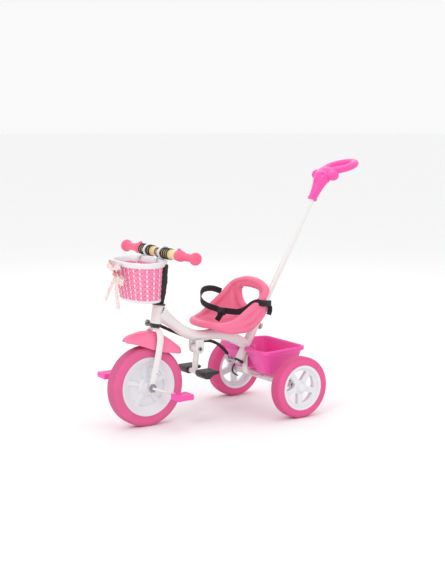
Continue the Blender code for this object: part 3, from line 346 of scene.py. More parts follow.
def swept_pipe(path, radius_at, wall, segments=40):
    path = [Vector(point) for point in path]
    outer, inner = [], []
    across = Vector((1, 0, 0))
    last = len(path) - 1
    for index, point in enumerate(path):
        along = (path[min(index + 1, last)] - path[max(index - 1, 0)]).normalized()
        across = (across - along * across.dot(along)).normalized()
        up = along.cross(across)
        for rings, radius in ((outer, radius_at(index / last)), (inner, radius_at(index / last) - wall)):
            rings.append([point + across * u + up * v for u, v in oval(radius, radius, segments)])
    return lofted(outer + inner[::-1], closed_loop=True)


def plate(outline, thickness, axis="X", centre=0.0):
    low, high = centre - thickness / 2, centre + thickness / 2
    place = {"X": lambda a, b, c: (c, a, b), "Y": lambda a, b, c: (a, c, b), "Z": lambda a, b, c: (a, b, c)}[axis]
    return lofted([[place(a, b, level) for a, b in outline] for level in (low, high)])


def arc(centre, radius, start_angle, end_angle, steps):
    points = []
    for step in range(steps + 1):
        angle = radians(start_angle + (end_angle - start_angle) * step / steps)
        points.append((centre[0] + radius * cos(angle), centre[1] + radius * sin(angle)))
    return points


def smoothstep(low, high, value):
    t = min(1.0, max(0.0, (value - low) / (high - low)))
    return t * t * (3 - 2 * t)


def joined(*shapes):
    """Several bmeshes as one, with no union."""
    whole = shapes[0]
    for shape in shapes[1:]:
        spare = bpy.data.meshes.new("spare")
        shape.to_mesh(spare)
        shape.free()
        whole.from_mesh(spare)
        bpy.data.meshes.remove(spare)
    return whole


def moved(shape, offset=(0, 0, 0), turn=(0, 0, 0)):
    bmesh.ops.transform(shape, matrix=Matrix.LocRotScale(Vector(offset), Euler(turn), None), verts=shape.verts)
    return shape


def block(place, size):
    shape = bmesh.new()
    bmesh.ops.create_cube(shape, size=1.0)
    bmesh.ops.transform(shape, matrix=Matrix.LocRotScale(Vector(place), None, Vector(size)), verts=shape.verts)
    return shape


def solid(name, shape, where):
    bmesh.ops.recalc_face_normals(shape, faces=shape.faces)
    mesh = bpy.data.meshes.new(name)
    shape.to_mesh(mesh)
    shape.free()
    made = bpy.data.objects.new(name, mesh)
    bpy.context.scene.collection.objects.link(made)
    made.matrix_world = where
    return made


def cutter(shape, where=GROUND):
    """A solid that a piece is cut with. It isn't part of the object, and goes once the cut is made."""
    return solid("cutter", shape, where)


def piece(name, shape, material, body, where=GROUND, stands_for=(), bevel=0.0, sharp=35, cutters=(),
          smooth=0, voxel=0.0):
    """A finished piece in a place's own millimetres, riding on a CAD body in place of CAD nodes."""
    made = solid(name, shape, where)
    if voxel:
        step(made, "REMESH", mode="VOXEL", voxel_size=voxel)
    if smooth:
        step(made, "SMOOTH", iterations=smooth)
    for tool in cutters:
        step(made, "BOOLEAN", operation="DIFFERENCE", solver="EXACT", object=tool)
    if made.modifiers:
        bake(made, cutters)
    made.data.shade_smooth()
    made.data.set_sharp_from_angle(angle=radians(sharp))
    made.data.materials.clear()
    made.data.materials.append(material)
    if bevel:
        step(made, "BEVEL", width=bevel, segments=2, limit_method="ANGLE", angle_limit=radians(40))
    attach(made, body)
    if stands_for:
        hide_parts(*stands_for)
    return made


def step(made, kind, **settings):
    modifier = made.modifiers.new(kind.lower(), kind)
    for key, value in settings.items():
        setattr(modifier, key, value)
    return modifier


def bake(made, cutters):
    """Turns the modifiers' result into the piece's own mesh, and clears away the solids that it was cut with."""
    bpy.context.view_layer.update()
    shown = made.evaluated_get(bpy.context.evaluated_depsgraph_get())
    result = bpy.data.meshes.new_from_object(shown)
    result.name = made.name
    spare = made.data
    made.modifiers.clear()
    made.data = result
    bpy.data.meshes.remove(spare)
    for tool in cutters:
        bpy.data.objects.remove(tool)


# ---------------------------------------------------------------- wheels
def build_tyre(name, material, body, centre, outer, rim_r, half_width, tread_half):
    """A foam tyre with a crowned tread, round shoulders and a raised bead where it meets the rim."""
    seat = rim_r - 4 + GAP
    side = half_width - 2.4
    reach = outer - rim_r
    half = [(seat, side), (rim_r + GAP, side), (rim_r + GAP, half_width), (rim_r + 2.5, half_width + 0.9),
            (rim_r + 5, half_width + 0.5), (rim_r + 0.42 * reach, half_width + 1.2),
            (rim_r + 0.68 * reach, half_width + 0.4), (outer - 5.5, tread_half + 2.6), (outer - 2.4, tread_half + 0.6),
            (outer - 0.6, tread_half - 2.5), (outer, tread_half * 0.45)]
    profile = half + [(r, -x) for r, x in reversed(half)]
    piece(name + "_foam", turned(profile, 160, "X", 1.8), material, body, upright(centre), [name], sharp=50)


def build_front_rim():
    """A closed dished disc with five raised spokes, a stepped hub and deep lips for the tyre."""
    rim_r, half_width, bore = FRONT_RIM_R, FRONT_HALF_WIDTH, 4.3
    radii = [bore, 12, 13.6, 14.4, 15.2, 19, 21, 23] + [25 + 2.2 * step for step in range(19)]
    radii += [68, 71, 75, 79, 83, 85.5, 87.5]
    hub_side = 30

    def dish(radius, angle):
        """Distance from the wheel's middle plane to its outer skin."""
        if radius < 13:
            return hub_side
        if radius < 15:
            return hub_side - 9 * (radius - 13)
        if radius < 22:
            return 15.5
        level = 13 - 4.0 * smoothstep(22, 26, radius)
        level += 12.5 * smoothstep(66, 89, radius)
        spoke = abs((degrees(angle) - 20) % 72 - 36) * radians(1) * radius
        pocket = smoothstep(0, 2.2, 36 * radians(1) * radius - spoke - 5.0 - 0.035 * radius)
        pocket *= smoothstep(27, 30, radius) * (1 - smoothstep(62, 65, radius))
        return level - 7.0 * pocket

    rings = []
    segments = 300
    for step in range(segments):
        angle = 2 * pi * step / segments
        half = [(r, dish(r, angle)) for r in radii]
        half += [(88.2, half_width - 0.6), (89, half_width), (rim_r - 1, half_width), (rim_r, half_width - 0.8),
                 (rim_r, half_width - 2.1), (rim_r - 4, half_width - 2.1)]
        profile = half + [(r, -x) for r, x in reversed(half)]
        rings.append([(x, r * cos(angle), r * sin(angle)) for r, x in profile])
    piece("front_wheel_disc", lofted(rings, closed_loop=True), WHITE_PLASTIC, "front_wheel_body",
          upright(FRONT_AXLE), ["front_rim"], sharp=32)


def sector(x, outline, angle):
    return [(x, a * cos(angle) - b * sin(angle), a * sin(angle) + b * cos(angle)) for a, b in outline]


def build_rear_wheel(side_name, side):
    """Five open spokes set in a deep white barrel, with a domed cap on the hub."""
    body = "rear_wheel_%s_body" % side_name
    where = upright(REAR_AXLE[side_name])
    rim_r, wide, bore = REAR_RIM_R, REAR_HALF_WIDTH, 5.3
    lip = wide - 2.1
    profile = [(bore, -17), (13, -17), (14.5, -6), (54, -6), (60.5, -10), (63, -wide), (rim_r, -wide), (rim_r, -lip),
               (rim_r - 4, -lip), (rim_r - 4, lip), (rim_r, lip), (rim_r, wide), (63.5, wide), (61, 14), (55.5, 9),
               (53, 7.5), (22, 8.5), (17.5, 12), (16, 17), (bore, 17)]
    windows = []
    for step in range(5):
        opening = arc((0, 0), 53, -26.5, 26.5, 14) + arc((0, 0), 23, 12, -12, 3)
        outline = soften(opening, 3.0, 4)
        angle = radians(90 + 72 * step)
        windows.append(cutter(lofted([sector(-30, outline, angle), sector(30, outline, angle)]), where))
    shape = turned([(r, side * x) for r, x in profile], 128, "X", 1.2)
    piece("rear_spokes_" + side_name, shape, WHITE_PLASTIC, body, where, ["rear_rim_" + side_name],
          cutters=windows, sharp=30)
    ribs = []
    for step in range(5):
        angle = radians(54 + 72 * step)
        rail = [(20, 7.6), (52, 7.0), (59, 11.5), (59, 6.8), (20, 6.8)]
        ribs.append(lofted([[(side * x, r * cos(angle) - t * sin(angle), r * sin(angle) + t * cos(angle))
                             for r, x in rail] for t in (-1.7, 1.7)]))
    piece("spoke_ridges_" + side_name, joined(*ribs), WHITE_PLASTIC, body, where, (), bevel=0.6)
    dome = [(0, 24.5), (5, 24.2), (9, 23.0), (12.5, 20.6), (14.6, 18), (14.8, 17.3), (0, 17.3)]
    piece("hub_dome_" + side_name, turned([(r, side * x) for r, x in dome], 64, "X", 1.0), WHITE_PLASTIC, body, where,
          ["hub_cap_" + side_name], sharp=40)
    build_tyre("rear_tyre_" + side_name, REAR_FOAM, body, REAR_AXLE[side_name], REAR_TYRE_R, rim_r, wide, TREAD_HALF)


def build_crank():
    """One bent rod, axle and cranks, with the bends rounded."""
    reach = pivot("pedal_left_spin") - FRONT_AXLE
    drop = Vector((0, reach.y, reach.z)) / MM
    half = [(0, 0, 0), (46, 0, 0), (51, 0, 0), Vector((56, 0, 0)) + drop * 0.07, Vector((66, 0, 0)) + drop * 0.93,
            Vector((71, 0, 0)) + drop, Vector((78, 0, 0)) + drop, Vector((124, 0, 0)) + drop]
    half = [Vector(point) for point in half]
    path = curve_through([-point for point in reversed(half[1:])] + half, 6)
    piece("crank_rod", swept(path, oval(4, 4, 20), (0, 0, 1)), WHITE_PAINT, "front_wheel_body", upright(FRONT_AXLE),
          ["crank_axle"], sharp=50)


def build_pedal(side_name, side):
    """A moulded block pedal with a grooved tread on both faces and an end cap on its pin."""
    body = "pedal_%s_body" % side_name
    where = upright(pivot("pedal_%s_spin" % side_name))
    outline = [(-29, -4.5), (-26, -9.6), (-12, -8.6), (12, -8.6), (26, -9.6), (29, -4.5), (29, 4.5), (26, 9.6),
               (12, 8.6), (-12, 8.6), (-26, 9.6), (-29, 4.5)]
    outline = soften(outline, 2.5, 3)
    rings = []
    for x, scale in ((-24, 0.84), (-23, 0.93), (-20.5, 1), (20.5, 1), (23, 0.93), (24, 0.84)):
        rings.append([(x, y * scale, z * scale) for y, z in outline])
    grooves = []
    for x in (-14, -5, 5, 14):
        for z in (-9.6, 9.6):
            groove = soften([(-22, z - 1.6), (22, z - 1.6), (22, z + 1.6), (-22, z + 1.6)], 1, 2)
            grooves.append(plate(groove, 3.0, "X", x))
    bore = rod(4.3, *sorted((-side * 40, side * 24.4 - side * 1)), "X", 32)
    cuts = [cutter(joined(*grooves), where), cutter(bore, where)]
    piece("pedal_block_" + side_name, lofted(rings), MAGENTA, body, where, ["pedal_" + side_name],
          cutters=cuts, sharp=35)


# ---------------------------------------------------------------- fork and column
def build_fork():
    """A flat oval steel bar bent over the wheel, its leg ends flattened and bored for the axle."""
    axle = STEER.inverted() @ FRONT_AXLE
    leg_x, bend = 40.5, 34
    half = [(x, 0, z) for x, z in arc((leg_x - bend, -bend), bend, 90, 0, 12)][1:]
    half += [(leg_x, 0, -70), (leg_x, 0.1 * axle.y, -100), (leg_x, 0.6 * axle.y, axle.z + 34), (leg_x, axle.y, axle.z),
             (leg_x, axle.y * 1.08, axle.z - 9), (leg_x, axle.y * 1.1, axle.z - 11)]
    path = [(-x, y, z) for x, y, z in reversed(half)] + [(0, 0, 0)] + half
    last = len(path) - 1

    def section(t):
        end = min(t, 1 - t) * last
        narrow = 0.55 if end < 0.5 else 0.85 if end < 1.5 else 1.0
        return oval(4.5 * (0.9 if end < 2 else 1), 11.5 * narrow, 28)

    hole = cutter(rod(4.6, -70, 70, "X", 32), upright(FRONT_AXLE))
    seat = cutter(rod(24, 3.6, 20, segments=48), STEER)
    piece("fork_bar", swept(path, section), WHITE_PAINT, STEERING, STEER, ["fork"],
          cutters=[hole, seat], sharp=50)
    dimple = turned([(0, 0), (1.9, 0), (1.9, 0.5), (0, 0.9)], 24, "X")
    piece("fork_leg_rivet", moved(dimple, (44.6, 1.2, axle.z + 45)), STEEL, STEERING, STEER, ())


def build_hub_washer(side_name, side):
    """A toothed bearing plate against the fork leg, with a ring nut round the axle."""
    where = upright(FRONT_AXLE)
    outline = []
    for step in range(16):
        radius = 15 if step % 2 else 12
        outline.append((radius * cos(pi * step / 8), radius * sin(pi * step / 8)))
    star = plate(soften(outline, 1.5, 3), 1.2, "X", side * 45.9)
    ring = pipe(8.8, 4.5, *sorted((side * 46.5, side * 48.3)), "X", 48)
    piece("hub_plate_" + side_name, joined(star, ring), STEEL, STEERING, where, ["hub_washer_" + side_name],
          bevel=0.3, cutters=[cutter(rod(4.5, -60, 60, "X", 32), where)])


def build_head():
    piece("head_tube_paint", pipe(17.5, 15, 0, 57.4, segments=96), WHITE_PAINT, FRAME, HEAD, ["head_tube"])
    low = [(11.3, -4.5), (17.5, -4.5), (17.5, -0.3), (14.7, -0.3), (14.7, 9), (11.3, 9)]
    piece("lower_bush", turned(low, 80), BLACK, FRAME, HEAD, ["head_bush_lower"])
    top = [(11.3, 63.2), (21, 63.2), (22, 62), (22, 57.7), (14.7, 57.7), (14.7, 48.7), (11.3, 48.7)]
    piece("upper_bush", turned(top, 80), BLACK, FRAME, HEAD, ["head_bush_upper"])


def build_column():
    """The steerer, its slack black cover with soft folds, and the clamp that holds the bar."""
    piece("steerer", pipe(STEERER_R, 9, 3.9, 226, segments=64), WHITE_PAINT, STEERING, STEER, ["steerer_tube"])
    low = 80
    rings = []
    segments, levels = 96, 90
    for level in range(levels + 1):
        t = level / levels
        height = low + 120.5 * t
        base = 16.6 + 1.9 * sin(pi * min(1, t * 1.35)) - 2.6 * smoothstep(0.72, 1.0, t)
        ring = []
        for step in range(segments):
            angle = 2 * pi * step / segments
            fold = 0.55 * sin(21 * t + 1.7 * sin(angle + 2.2 * t) + 0.8 * sin(2 * angle))
            fold += 0.3 * sin(47 * t + 2.5 * cos(angle)) + 0.25 * sin(3 * angle + 9 * t)
            hem = 0.9 if level in (0, levels) else 1.0
            radius = (base + fold * smoothstep(0, 0.06, min(t, 1 - t))) * hem
            ring.append((radius * cos(angle), radius * sin(angle), height))
        rings.append(ring)
    inner = [[(11.4 * cos(2 * pi * i / segments), 11.4 * sin(2 * pi * i / segments), h) for i in range(segments)]
             for h in (low + 120.5, low)]
    piece("stem_cover", lofted(rings + inner, closed_loop=True), RUBBER, STEERING, STEER, ["stem_sleeve"], sharp=60)
    clamp = block((0, 11, -4), (26, 34, 34))
    bmesh.ops.bevel(clamp, geom=clamp.edges[:], offset=5, segments=4, affect="EDGES", profile=0.5)
    holes = [cutter(rod(11.3, -40, 40, "X"), HANDLEBAR), cutter(rod(11.3, 100, 226.3), STEER)]
    piece("bar_clamp", clamp, BLACK, STEERING, HANDLEBAR, ["stem_clamp"], cutters=holes)
    bolts = [moved(rod(3.2, 0, 2.4), (x, 21, 13), (-0.3, 0, 0)) for x in (-7, 7)]
    piece("clamp_bolts", joined(*bolts), STEEL, STEERING, HANDLEBAR, ())


# ---------------------------------------------------------------- handlebar
def build_handlebar():
    def on_bar(name, shape, material, node_name):
        piece(name, shape, material, STEERING, HANDLEBAR, [node_name], sharp=40)

    on_bar("bar_tube", pipe(11, 9, -190, 190, "X"), STEEL, "handlebar")
    for name, low, high in (("left", 72.6, 103.2), ("right", -33, -13.4)):
        profile = [(11.3, low), (13.6, low), (14.5, low + 1.2), (14.7, (low + high) / 2), (14.5, high - 1.2),
                   (13.6, high), (11.3, high)]
        on_bar("padding_roll_" + name, turned(profile, 72, "X", 0.8), CREAM, "bar_padding_" + name)
    for name, low, high in (("left", 26.6, 72), ("centre", -59.4, -33.6), ("right", -103.2, -72.6)):
        ribs = round((high - low) / 11.5)
        pitch = (high - low) / ribs
        on_bar("foam_core_" + name, pipe(15.2, 11.3, low + 0.6, high - 0.6, "X", 72), CREAM, "ribbed_sleeve_" + name)
        rings = []
        for rib in range(ribs):
            a, b = low + rib * pitch + 0.2, low + (rib + 1) * pitch - 4.2
            profile = [(14.8, a), (16.9, a + 0.5), (17.5, a + 2), (17.5, b - 2), (16.9, b - 0.5), (14.8, b)]
            rings.append(turned(profile, 72, "X", 0.6))
        piece("rubber_rings_" + name, joined(*rings), RUBBER, STEERING, HANDLEBAR, (), sharp=45)
    for name, x in (("left", 20), ("right", -66)):
        build_hook(name, x)
    for side_name, side in SIDES:
        build_grip(side_name, side)


def build_grip(side_name, side):
    """A soft grip: a flange with a fin, a narrow waist and a round knob with a vent in its end."""
    profile = [(0, 211.6), (2.0, 211.8), (2.6, 213), (12, 213), (15, 212.4), (18.0, 209.6), (19.4, 204.5), (18.8, 199),
               (15.5, 194), (12.6, 189.5), (11.9, 184), (11.7, 168), (12.2, 150), (13.2, 139), (15.6, 131),
               (16.8, 126), (17, 119), (16.2, 112), (15.7, 106), (14.6, 104), (11.3, 104), (11.3, 190.4), (0, 190.4)]
    barrel = turned([(r, side * x) for r, x in profile], 80, "X", 1.4)
    fin = soften([(106, 13), (142, 11.8), (128, 16), (116, 22.6), (110, 23), (107, 18)], 3, 3)
    blade = plate([(side * a, b) for a, b in fin], 6.5, "Y")
    bmesh.ops.recalc_face_normals(blade, faces=blade.faces)
    sharp_edges = [edge for edge in blade.edges if edge.calc_face_angle(0) > 1.2]
    bmesh.ops.bevel(blade, geom=sharp_edges, offset=2.0, segments=3, affect="EDGES", profile=0.5)
    piece("grip_skin_" + side_name, joined(barrel, blade), GRIP_PINK, STEERING, HANDLEBAR,
          ["grip_" + side_name], sharp=60)


def build_hook(name, x):
    """A white strap ring round the bar, closed by a black bolt, with a tongue over the basket's rim."""
    where = HANDLEBAR @ Matrix.Translation((x, 0, 0))
    tongue_z = -17
    inside = {"left": -25.5, "right": -35.5}[name]
    outline = [(-3, -14), (-3, tongue_z), (inside, tongue_z), (inside, tongue_z - 15.5),
               (inside - 2.6, tongue_z - 15.5), (inside - 2.6, tongue_z + 2.6), (-11, tongue_z + 4.2), (-11, -12)]
    strap = plate(soften(outline, 1.6, 3), 9, "X")
    ring = pipe(18.3, 11.3, -5.8, 5.8, "X", 72)
    ear = plate(soften([(-20, 5), (-12, 8), (-12, -4), (-20.5, -3)], 2, 3), 9, "X")
    piece("hook_strap_" + name, joined(ring, strap, ear), WHITE_PLASTIC, STEERING, where,
          ["basket_hook_" + name], bevel=0.5, sharp=40)
    bolts = [moved(turned([(0, 0), (2.9, 0), (2.9, 1.1), (2.0, 1.8), (0, 2.0)], 32, "X", 0.3), (5.8, y, z))
             for y, z in ((-14.6, 1.5), (-5.5, -13.6))]
    piece("hook_bolts_" + name, joined(*bolts), BLACK, STEERING, where, ())


# ---------------------------------------------------------------- basket
BASKET_COLUMNS = 22
BASKET_ROWS = 14
BASKET_LOW, BASKET_HIGH = 400, 503


def basket_wall(height, angle, outward=0.0):
    """A point on the middle of the basket's wall."""
    t = (height - BASKET_LOW) / (BASKET_HIGH - BASKET_LOW)
    half_x = 80.5 + 16 * t + outward
    half_y = 44.8 + 10 * t + outward
    c, s = cos(angle), sin(angle)
    power = 0.82
    x = half_x * abs(c) ** power * (1 if c > 0 else -1)
    y = -243 - 6 * t + half_y * abs(s) ** power * (1 if s > 0 else -1)
    return Vector((x, y, height))


def basket_angles(count):
    """Angles that divide the wall's outline into equal lengths."""
    fine = [2 * pi * step / 1440 for step in range(1441)]
    points = [basket_wall(450, angle) for angle in fine]
    total = [0.0]
    for a, b in zip(points, points[1:]):
        total.append(total[-1] + (b - a).length)
    result = []
    index = 0
    for step in range(count):
        target = total[-1] * step / count
        while total[index + 1] < target:
            index += 1
        result.append(fine[index])
    return result


def build_basket():
    """A basket woven from pink strip round pale pink stakes, between a white rim band and a white base band."""
    steps = BASKET_COLUMNS * 8
    angles = basket_angles(steps)
    pitch = (BASKET_HIGH - BASKET_LOW) / BASKET_ROWS
    strips = []
    for row in range(BASKET_ROWS):
        middle = BASKET_LOW + (row + 0.5) * pitch
        rings = []
        for step, angle in enumerate(angles):
            wave = cos(pi * step / 8 + pi * row)
            swing = 1.9 * wave / sqrt(0.25 + wave * wave) if wave else 0.0
            ring = []
            for out, up in soften([(-0.7, -0.47), (0.7, -0.47), (0.7, 0.47), (-0.7, 0.47)], 0.3, 2):
                bulge = out * (1.0 if abs(up) < 0.4 else 0.7)
                ring.append(basket_wall(middle + up * pitch * 0.98, angle, swing + bulge))
            rings.append(ring)
        strips.append(lofted(rings, closed_loop=True))
    piece("basket_strips", joined(*strips), BASKET_PINK, STEERING, GROUND, ["basket"], sharp=60)
    stakes = []
    for column in range(BASKET_COLUMNS):
        angle = angles[column * 8]
        ahead, behind = angles[(column * 8 + 1) % steps], angles[column * 8 - 1]
        path = [basket_wall(height, angle, 0.4) for height in (397, 420, 450, 480, 506)]
        side = (basket_wall(450, ahead) - basket_wall(450, behind)).normalized()
        stakes.append(swept(path, soften([(-3.0, -0.8), (3.0, -0.8), (3.0, 0.8), (-3.0, 0.8)], 0.6, 2), side))
    piece("basket_stakes", joined(*stakes), PALE_PINK, STEERING, GROUND, (), sharp=50)
    fine = basket_angles(160)

    def band(levels):
        return [[basket_wall(height, angle, out) for angle in fine] for height, out in levels]

    rim = band([(501, 5.2), (501.4, 6.6), (504, 8.4), (514, 10.2), (517, 10.0), (518.2, 8.4), (518.4, 5.5), (518, 2.6),
                (516.8, 1.0), (514, -0.6), (504, -2.0), (501, -1.8), (500.4, 1.0)])
    base = band([(401.6, 2.4), (401.2, 3.6), (397.5, 3.4), (394.2, 2.4), (393, -0.2), (393, -6), (397, -6),
                 (398.4, -3.6), (401, -2.6), (401.6, -1.6)])
    piece("basket_rim", lofted(rim, closed_loop=True), WHITE_PLASTIC, STEERING, GROUND, (),
          sharp=50)
    piece("basket_base_band", lofted(base, closed_loop=True), WHITE_PLASTIC, STEERING, GROUND, (), sharp=50)
    floor = band([(396.6, -5.5), (394.6, -5.5)])
    piece("basket_floor", lofted(floor), BASKET_PINK, STEERING, GROUND, ())


def ribbon(points, width, side=None, thick=0.5):
    """A flat ribbon along a path, with its own lay coordinates for the weave. With no side it stands on edge."""
    path = curve_through(points, 8)
    last = len(path) - 1
    cells = [(-1, -1), (-0.5, -1), (0, -1), (0.5, -1), (1, -1), (1, 1), (0.5, 1), (0, 1), (-0.5, 1), (-1, 1)]
    upright_edge = Vector((0, 0, 1))
    across = Vector(side or upright_edge)
    rings, lay = [], []
    travelled = 0.0
    for index, point in enumerate(path):
        along = (path[min(index + 1, last)] - path[max(index - 1, 0)]).normalized()
        across = across if side else upright_edge
        across = (across - along * across.dot(along)).normalized()
        face = along.cross(across)
        if index:
            travelled += (point - path[index - 1]).length
        half = (width(index / last) if callable(width) else width) / 2
        rings.append([point + across * a * half + face * b * thick / 2 for a, b in cells])
        lay += [(travelled, a * half, 0) for a, b in cells]
    return lofted(rings), lay


def woven_piece(name, parts, material, body, stands_for=()):
    lay = [where for shape, part in parts for where in part]
    made = piece(name, joined(*[shape for shape, part in parts]), material, body, GROUND, stands_for, sharp=70)
    stored = made.data.attributes.new("lay", "FLOAT_VECTOR", "POINT")
    stored.data.foreach_set("vector", [value for where in lay for value in where])
    return made


def build_bow():
    """A ribbon bow: three loops, a knot and two tails, tied on the front of the basket."""
    def at(x, out, z):
        return (x, BOW_Y - out, z)

    def from_knot(x, out, z):
        return at(BOW_X + x, out, BOW_Z + z)

    def loop(far_x, far_z, puff, wide, face):
        """A loop that leaves the knot in front, turns at its far end and comes back behind."""
        front = [from_knot(0, 3, 0), from_knot(0.45 * far_x, puff, 0.45 * far_z),
                 from_knot(0.85 * far_x, puff, 0.9 * far_z)]
        end = [from_knot(far_x, puff * 0.5, far_z)]
        back = [from_knot(0.8 * far_x, 1, 0.85 * far_z), from_knot(0.4 * far_x, 0.5, 0.4 * far_z), from_knot(0, 1, 0)]
        return ribbon(front + end + back, lambda t: wide * (0.42 + 0.58 * sin(pi * t) ** 0.7), face)

    loops = [loop(-46, 28, 13, 19, (0.5, 0.1, 0.85)), loop(44, -24, 14, 20, (0.45, 0.1, 0.88)),
             loop(21, 22, 15, 19, (0.72, 0.15, -0.68))]
    left_tail = ribbon([at(-5, 3, 479), at(-20, 5, 458), at(-42, 6, 432), at(-60, 5, 410), at(-76, 5, 391)], 12,
                       (0.8, 0.3, -0.5))
    right_tail = ribbon([at(-1, 3, 479), at(-3, 6, 455), at(-2, 7, 428), at(3, 6, 400), at(6, 6, 373)], 12,
                        (0.85, 0.5, 0))
    wrap = ribbon([at(-11, 1, 486), at(-6, 15, 485), at(1, 16, 480), at(6, 1, 476)], 13, (0.45, 0, 0.9), 1.2)
    woven_piece("bow_ribbon", loops + [left_tail, right_tail], RIBBON, STEERING, ["ribbon_bow"])
    # The knot wrap takes the darker copy of the ribbon colour: painted shade in the knot.
    woven_piece("bow_knot", [wrap], RIBBON_PAINTED_SHADE, STEERING, ())


# ---------------------------------------------------------------- fender
FENDER = [(-299.5, 276, 10, 8), (-297, 279.5, 17, 13), (-289, 284.5, 25, 19), (-276, 289.5, 30, 27),
          (-258, 294, 32.5, 37), (-234, 297, 33.6, 49), (-206, 294.5, 34, 57), (-176, 285, 33.8, 56),
          (-151, 270, 33, 46), (-133, 257, 31.5, 37), (-119, 246, 28, 28), (-110, 239, 22, 20),
          (-105.5, 234.5, 13, 13)]


def build_fender():
    """A thin moulded arch over the wheel, drawn in at nose and tail, with a turned edge."""
    stations = [Vector(values) for values in FENDER]
    path = curve_through([(s[0], s[1], s[2]) for s in stations], 4)
    depths = curve_through([(s[3], 0, 0) for s in stations], 4)
    rings = []
    count = 32
    for point, depth in zip(path, depths):
        y, crown, half = point
        skirt = max(3.0, depth.x)
        ring = []
        for shrink, order in ((0.0, range(count + 1)), (2.4, range(count, -1, -1))):
            for step in order:
                angle = pi - pi * step / count
                rise = sin(angle) ** 0.75 if 0 < step < count else 0.0
                ring.append((max(half - shrink, 1) * cos(angle), y, crown - skirt + max(0.0, skirt - shrink) * rise))
        rings.append(ring)
    piece("fender_shell", lofted(rings), FENDER_PINK, STEERING, GROUND, ["front_fender"],
          bevel=0.8, sharp=50)


# ---------------------------------------------------------------- steering linkage
ARM_END = (-52 * cos(radians(-2.3)), -52 * sin(radians(-2.3)))
LEVER_END = (-50 * cos(radians(4.2)), 50 * sin(radians(4.2)))


def build_arm(name, far, boss_r, hole_r, low, thick, body, where, material):
    """A pressed arm with a round boss, and a shouldered bolt through its far eye."""
    direction = degrees(atan2(far[1], far[0]))
    outline = arc((0, 0), boss_r, direction + 80, direction + 280, 28)
    outline += arc(far, 8, direction - 80, direction + 80, 18)
    hole = cutter(rod(hole_r, low - 5, low + thick + 5), where)
    piece(name + "_plate", plate(outline, thick, "Z", low + thick / 2), material, body, where, [name], bevel=0.8,
          cutters=[hole])
    top = low + thick
    bolt = [(0, low - 3.4), (5, low - 3.4), (5.8, low - 2.8), (5.8, low - 0.1), (3, low - 0.1), (3, top + 6),
            (6, top + 6), (6, top + 9.2), (5, top + 10), (0, top + 10)]
    piece(name + "_bolt", moved(turned(bolt, 48, corner=0.4), (far[0], far[1], 0)), STEEL, body, where, ())


def build_linkage():
    build_arm("steering_arm", ARM_END, 15, 11.3, 3.9, 6.5, STEERING, STEER, BLACK_STEEL)
    build_arm("steering_lever", LEVER_END, 16.5, 9.8, -12.3, 5.5, "push_bar_body", BAR, STEEL)
    front_place = STEER @ Matrix.Translation((ARM_END[0], ARM_END[1], 13.4))
    rear_place = BAR @ Matrix.Translation((LEVER_END[0], LEVER_END[1], -3.8))
    front = GROUND.inverted() @ front_place.translation
    rear = GROUND.inverted() @ rear_place.translation
    start = front + Vector((0.6, 7.2, -0.4))
    end = rear + Vector((0.2, -6.8, 3.8))
    bends = [(-53, -150, 300), (-50, -118, 284), (-47, -80, 266), (-45, -35, 246), (-45, 8, 233), (-45, 40, 229),
             (-45, 68, 217), (-45.5, 90, 199), (-46.5, 107, 181)]
    route = curve_through([start] + bends + [end], 10)
    count = len(route)
    piece("link_wire", swept(route, oval(2.6, 2.6, 20)), STEEL, "link_body", GROUND, ["link_rod"],
          sharp=60)
    cover = route[int(0.10 * count):int(0.93 * count)]

    def slack(t):
        hem = 0.72 if t < 0.004 or t > 0.996 else 1.0
        wide = 5.0 + 0.25 * sin(60 * t) + 0.15 * sin(137 * t + 1)
        return oval(wide * hem, (5.0 + 0.2 * sin(73 * t + 2)) * hem, 24)

    piece("link_cover", swept(cover, slack), RUBBER, "link_body", GROUND, (), sharp=60)
    for name, place, hole in (("front", front_place, 3.5), ("rear", rear_place, 4.8)):
        piece("link_eye_" + name, pipe(8.5, hole, -2.4, 2.4, segments=48), STEEL, "link_body", place, ())


# ---------------------------------------------------------------- frame
def build_frame():
    route = [(0, -176, 352), (0, -150, 328), (0, -122, 306), (0, -92, 284), (0, -54, 266), (0, -15, 260), (0, 26, 261),
             (0, 62, 254), (0, 98, 241), (0, 134, 222), (0, 149, 212)]

    def radius(t):
        return 17 + 5 * (1 - smoothstep(0.0, 0.24, t))

    cuts = [cutter(rod(17.8, -60, 120, segments=96), HEAD), cutter(rod(14.8, -60, 190, segments=96), BAR)]
    piece("main_tube_paint", swept_pipe(curve_through(route, 8), radius, 2, 72), WHITE_PAINT, FRAME, GROUND,
          ["main_tube"], cutters=cuts, sharp=50)
    build_weld("head_weld", HEAD, 17.9, 6, 46, 22.5)
    knob_turn = Matrix.Translation((0, 0, 130)) @ Matrix.Rotation(-pi / 2, 4, "X")
    screw = BAR @ knob_turn
    piece("socket_paint", pipe(SOCKET_R, 12.5, 0, SOCKET_LENGTH, segments=80), WHITE_PAINT, FRAME, BAR,
          ["push_bar_socket"], cutters=[cutter(rod(3.8, 0, 30), screw)])
    low = [(9.8, -6), (16.5, -6), (16.5, -0.3), (12.2, -0.3), (12.2, 12), (9.8, 12)]
    piece("socket_bush_ring", turned(low, 72), BLACK, FRAME, BAR, ["socket_bush"])
    high = pipe(12.2, 9.8, SOCKET_LENGTH - 24, SOCKET_LENGTH, segments=72)
    piece("socket_sleeve_ring", high, BLACK, FRAME, BAR, ["socket_bush_upper"],
          cutters=[cutter(rod(3.8, 0, 30), screw)])
    build_stay()
    build_rear_axle()


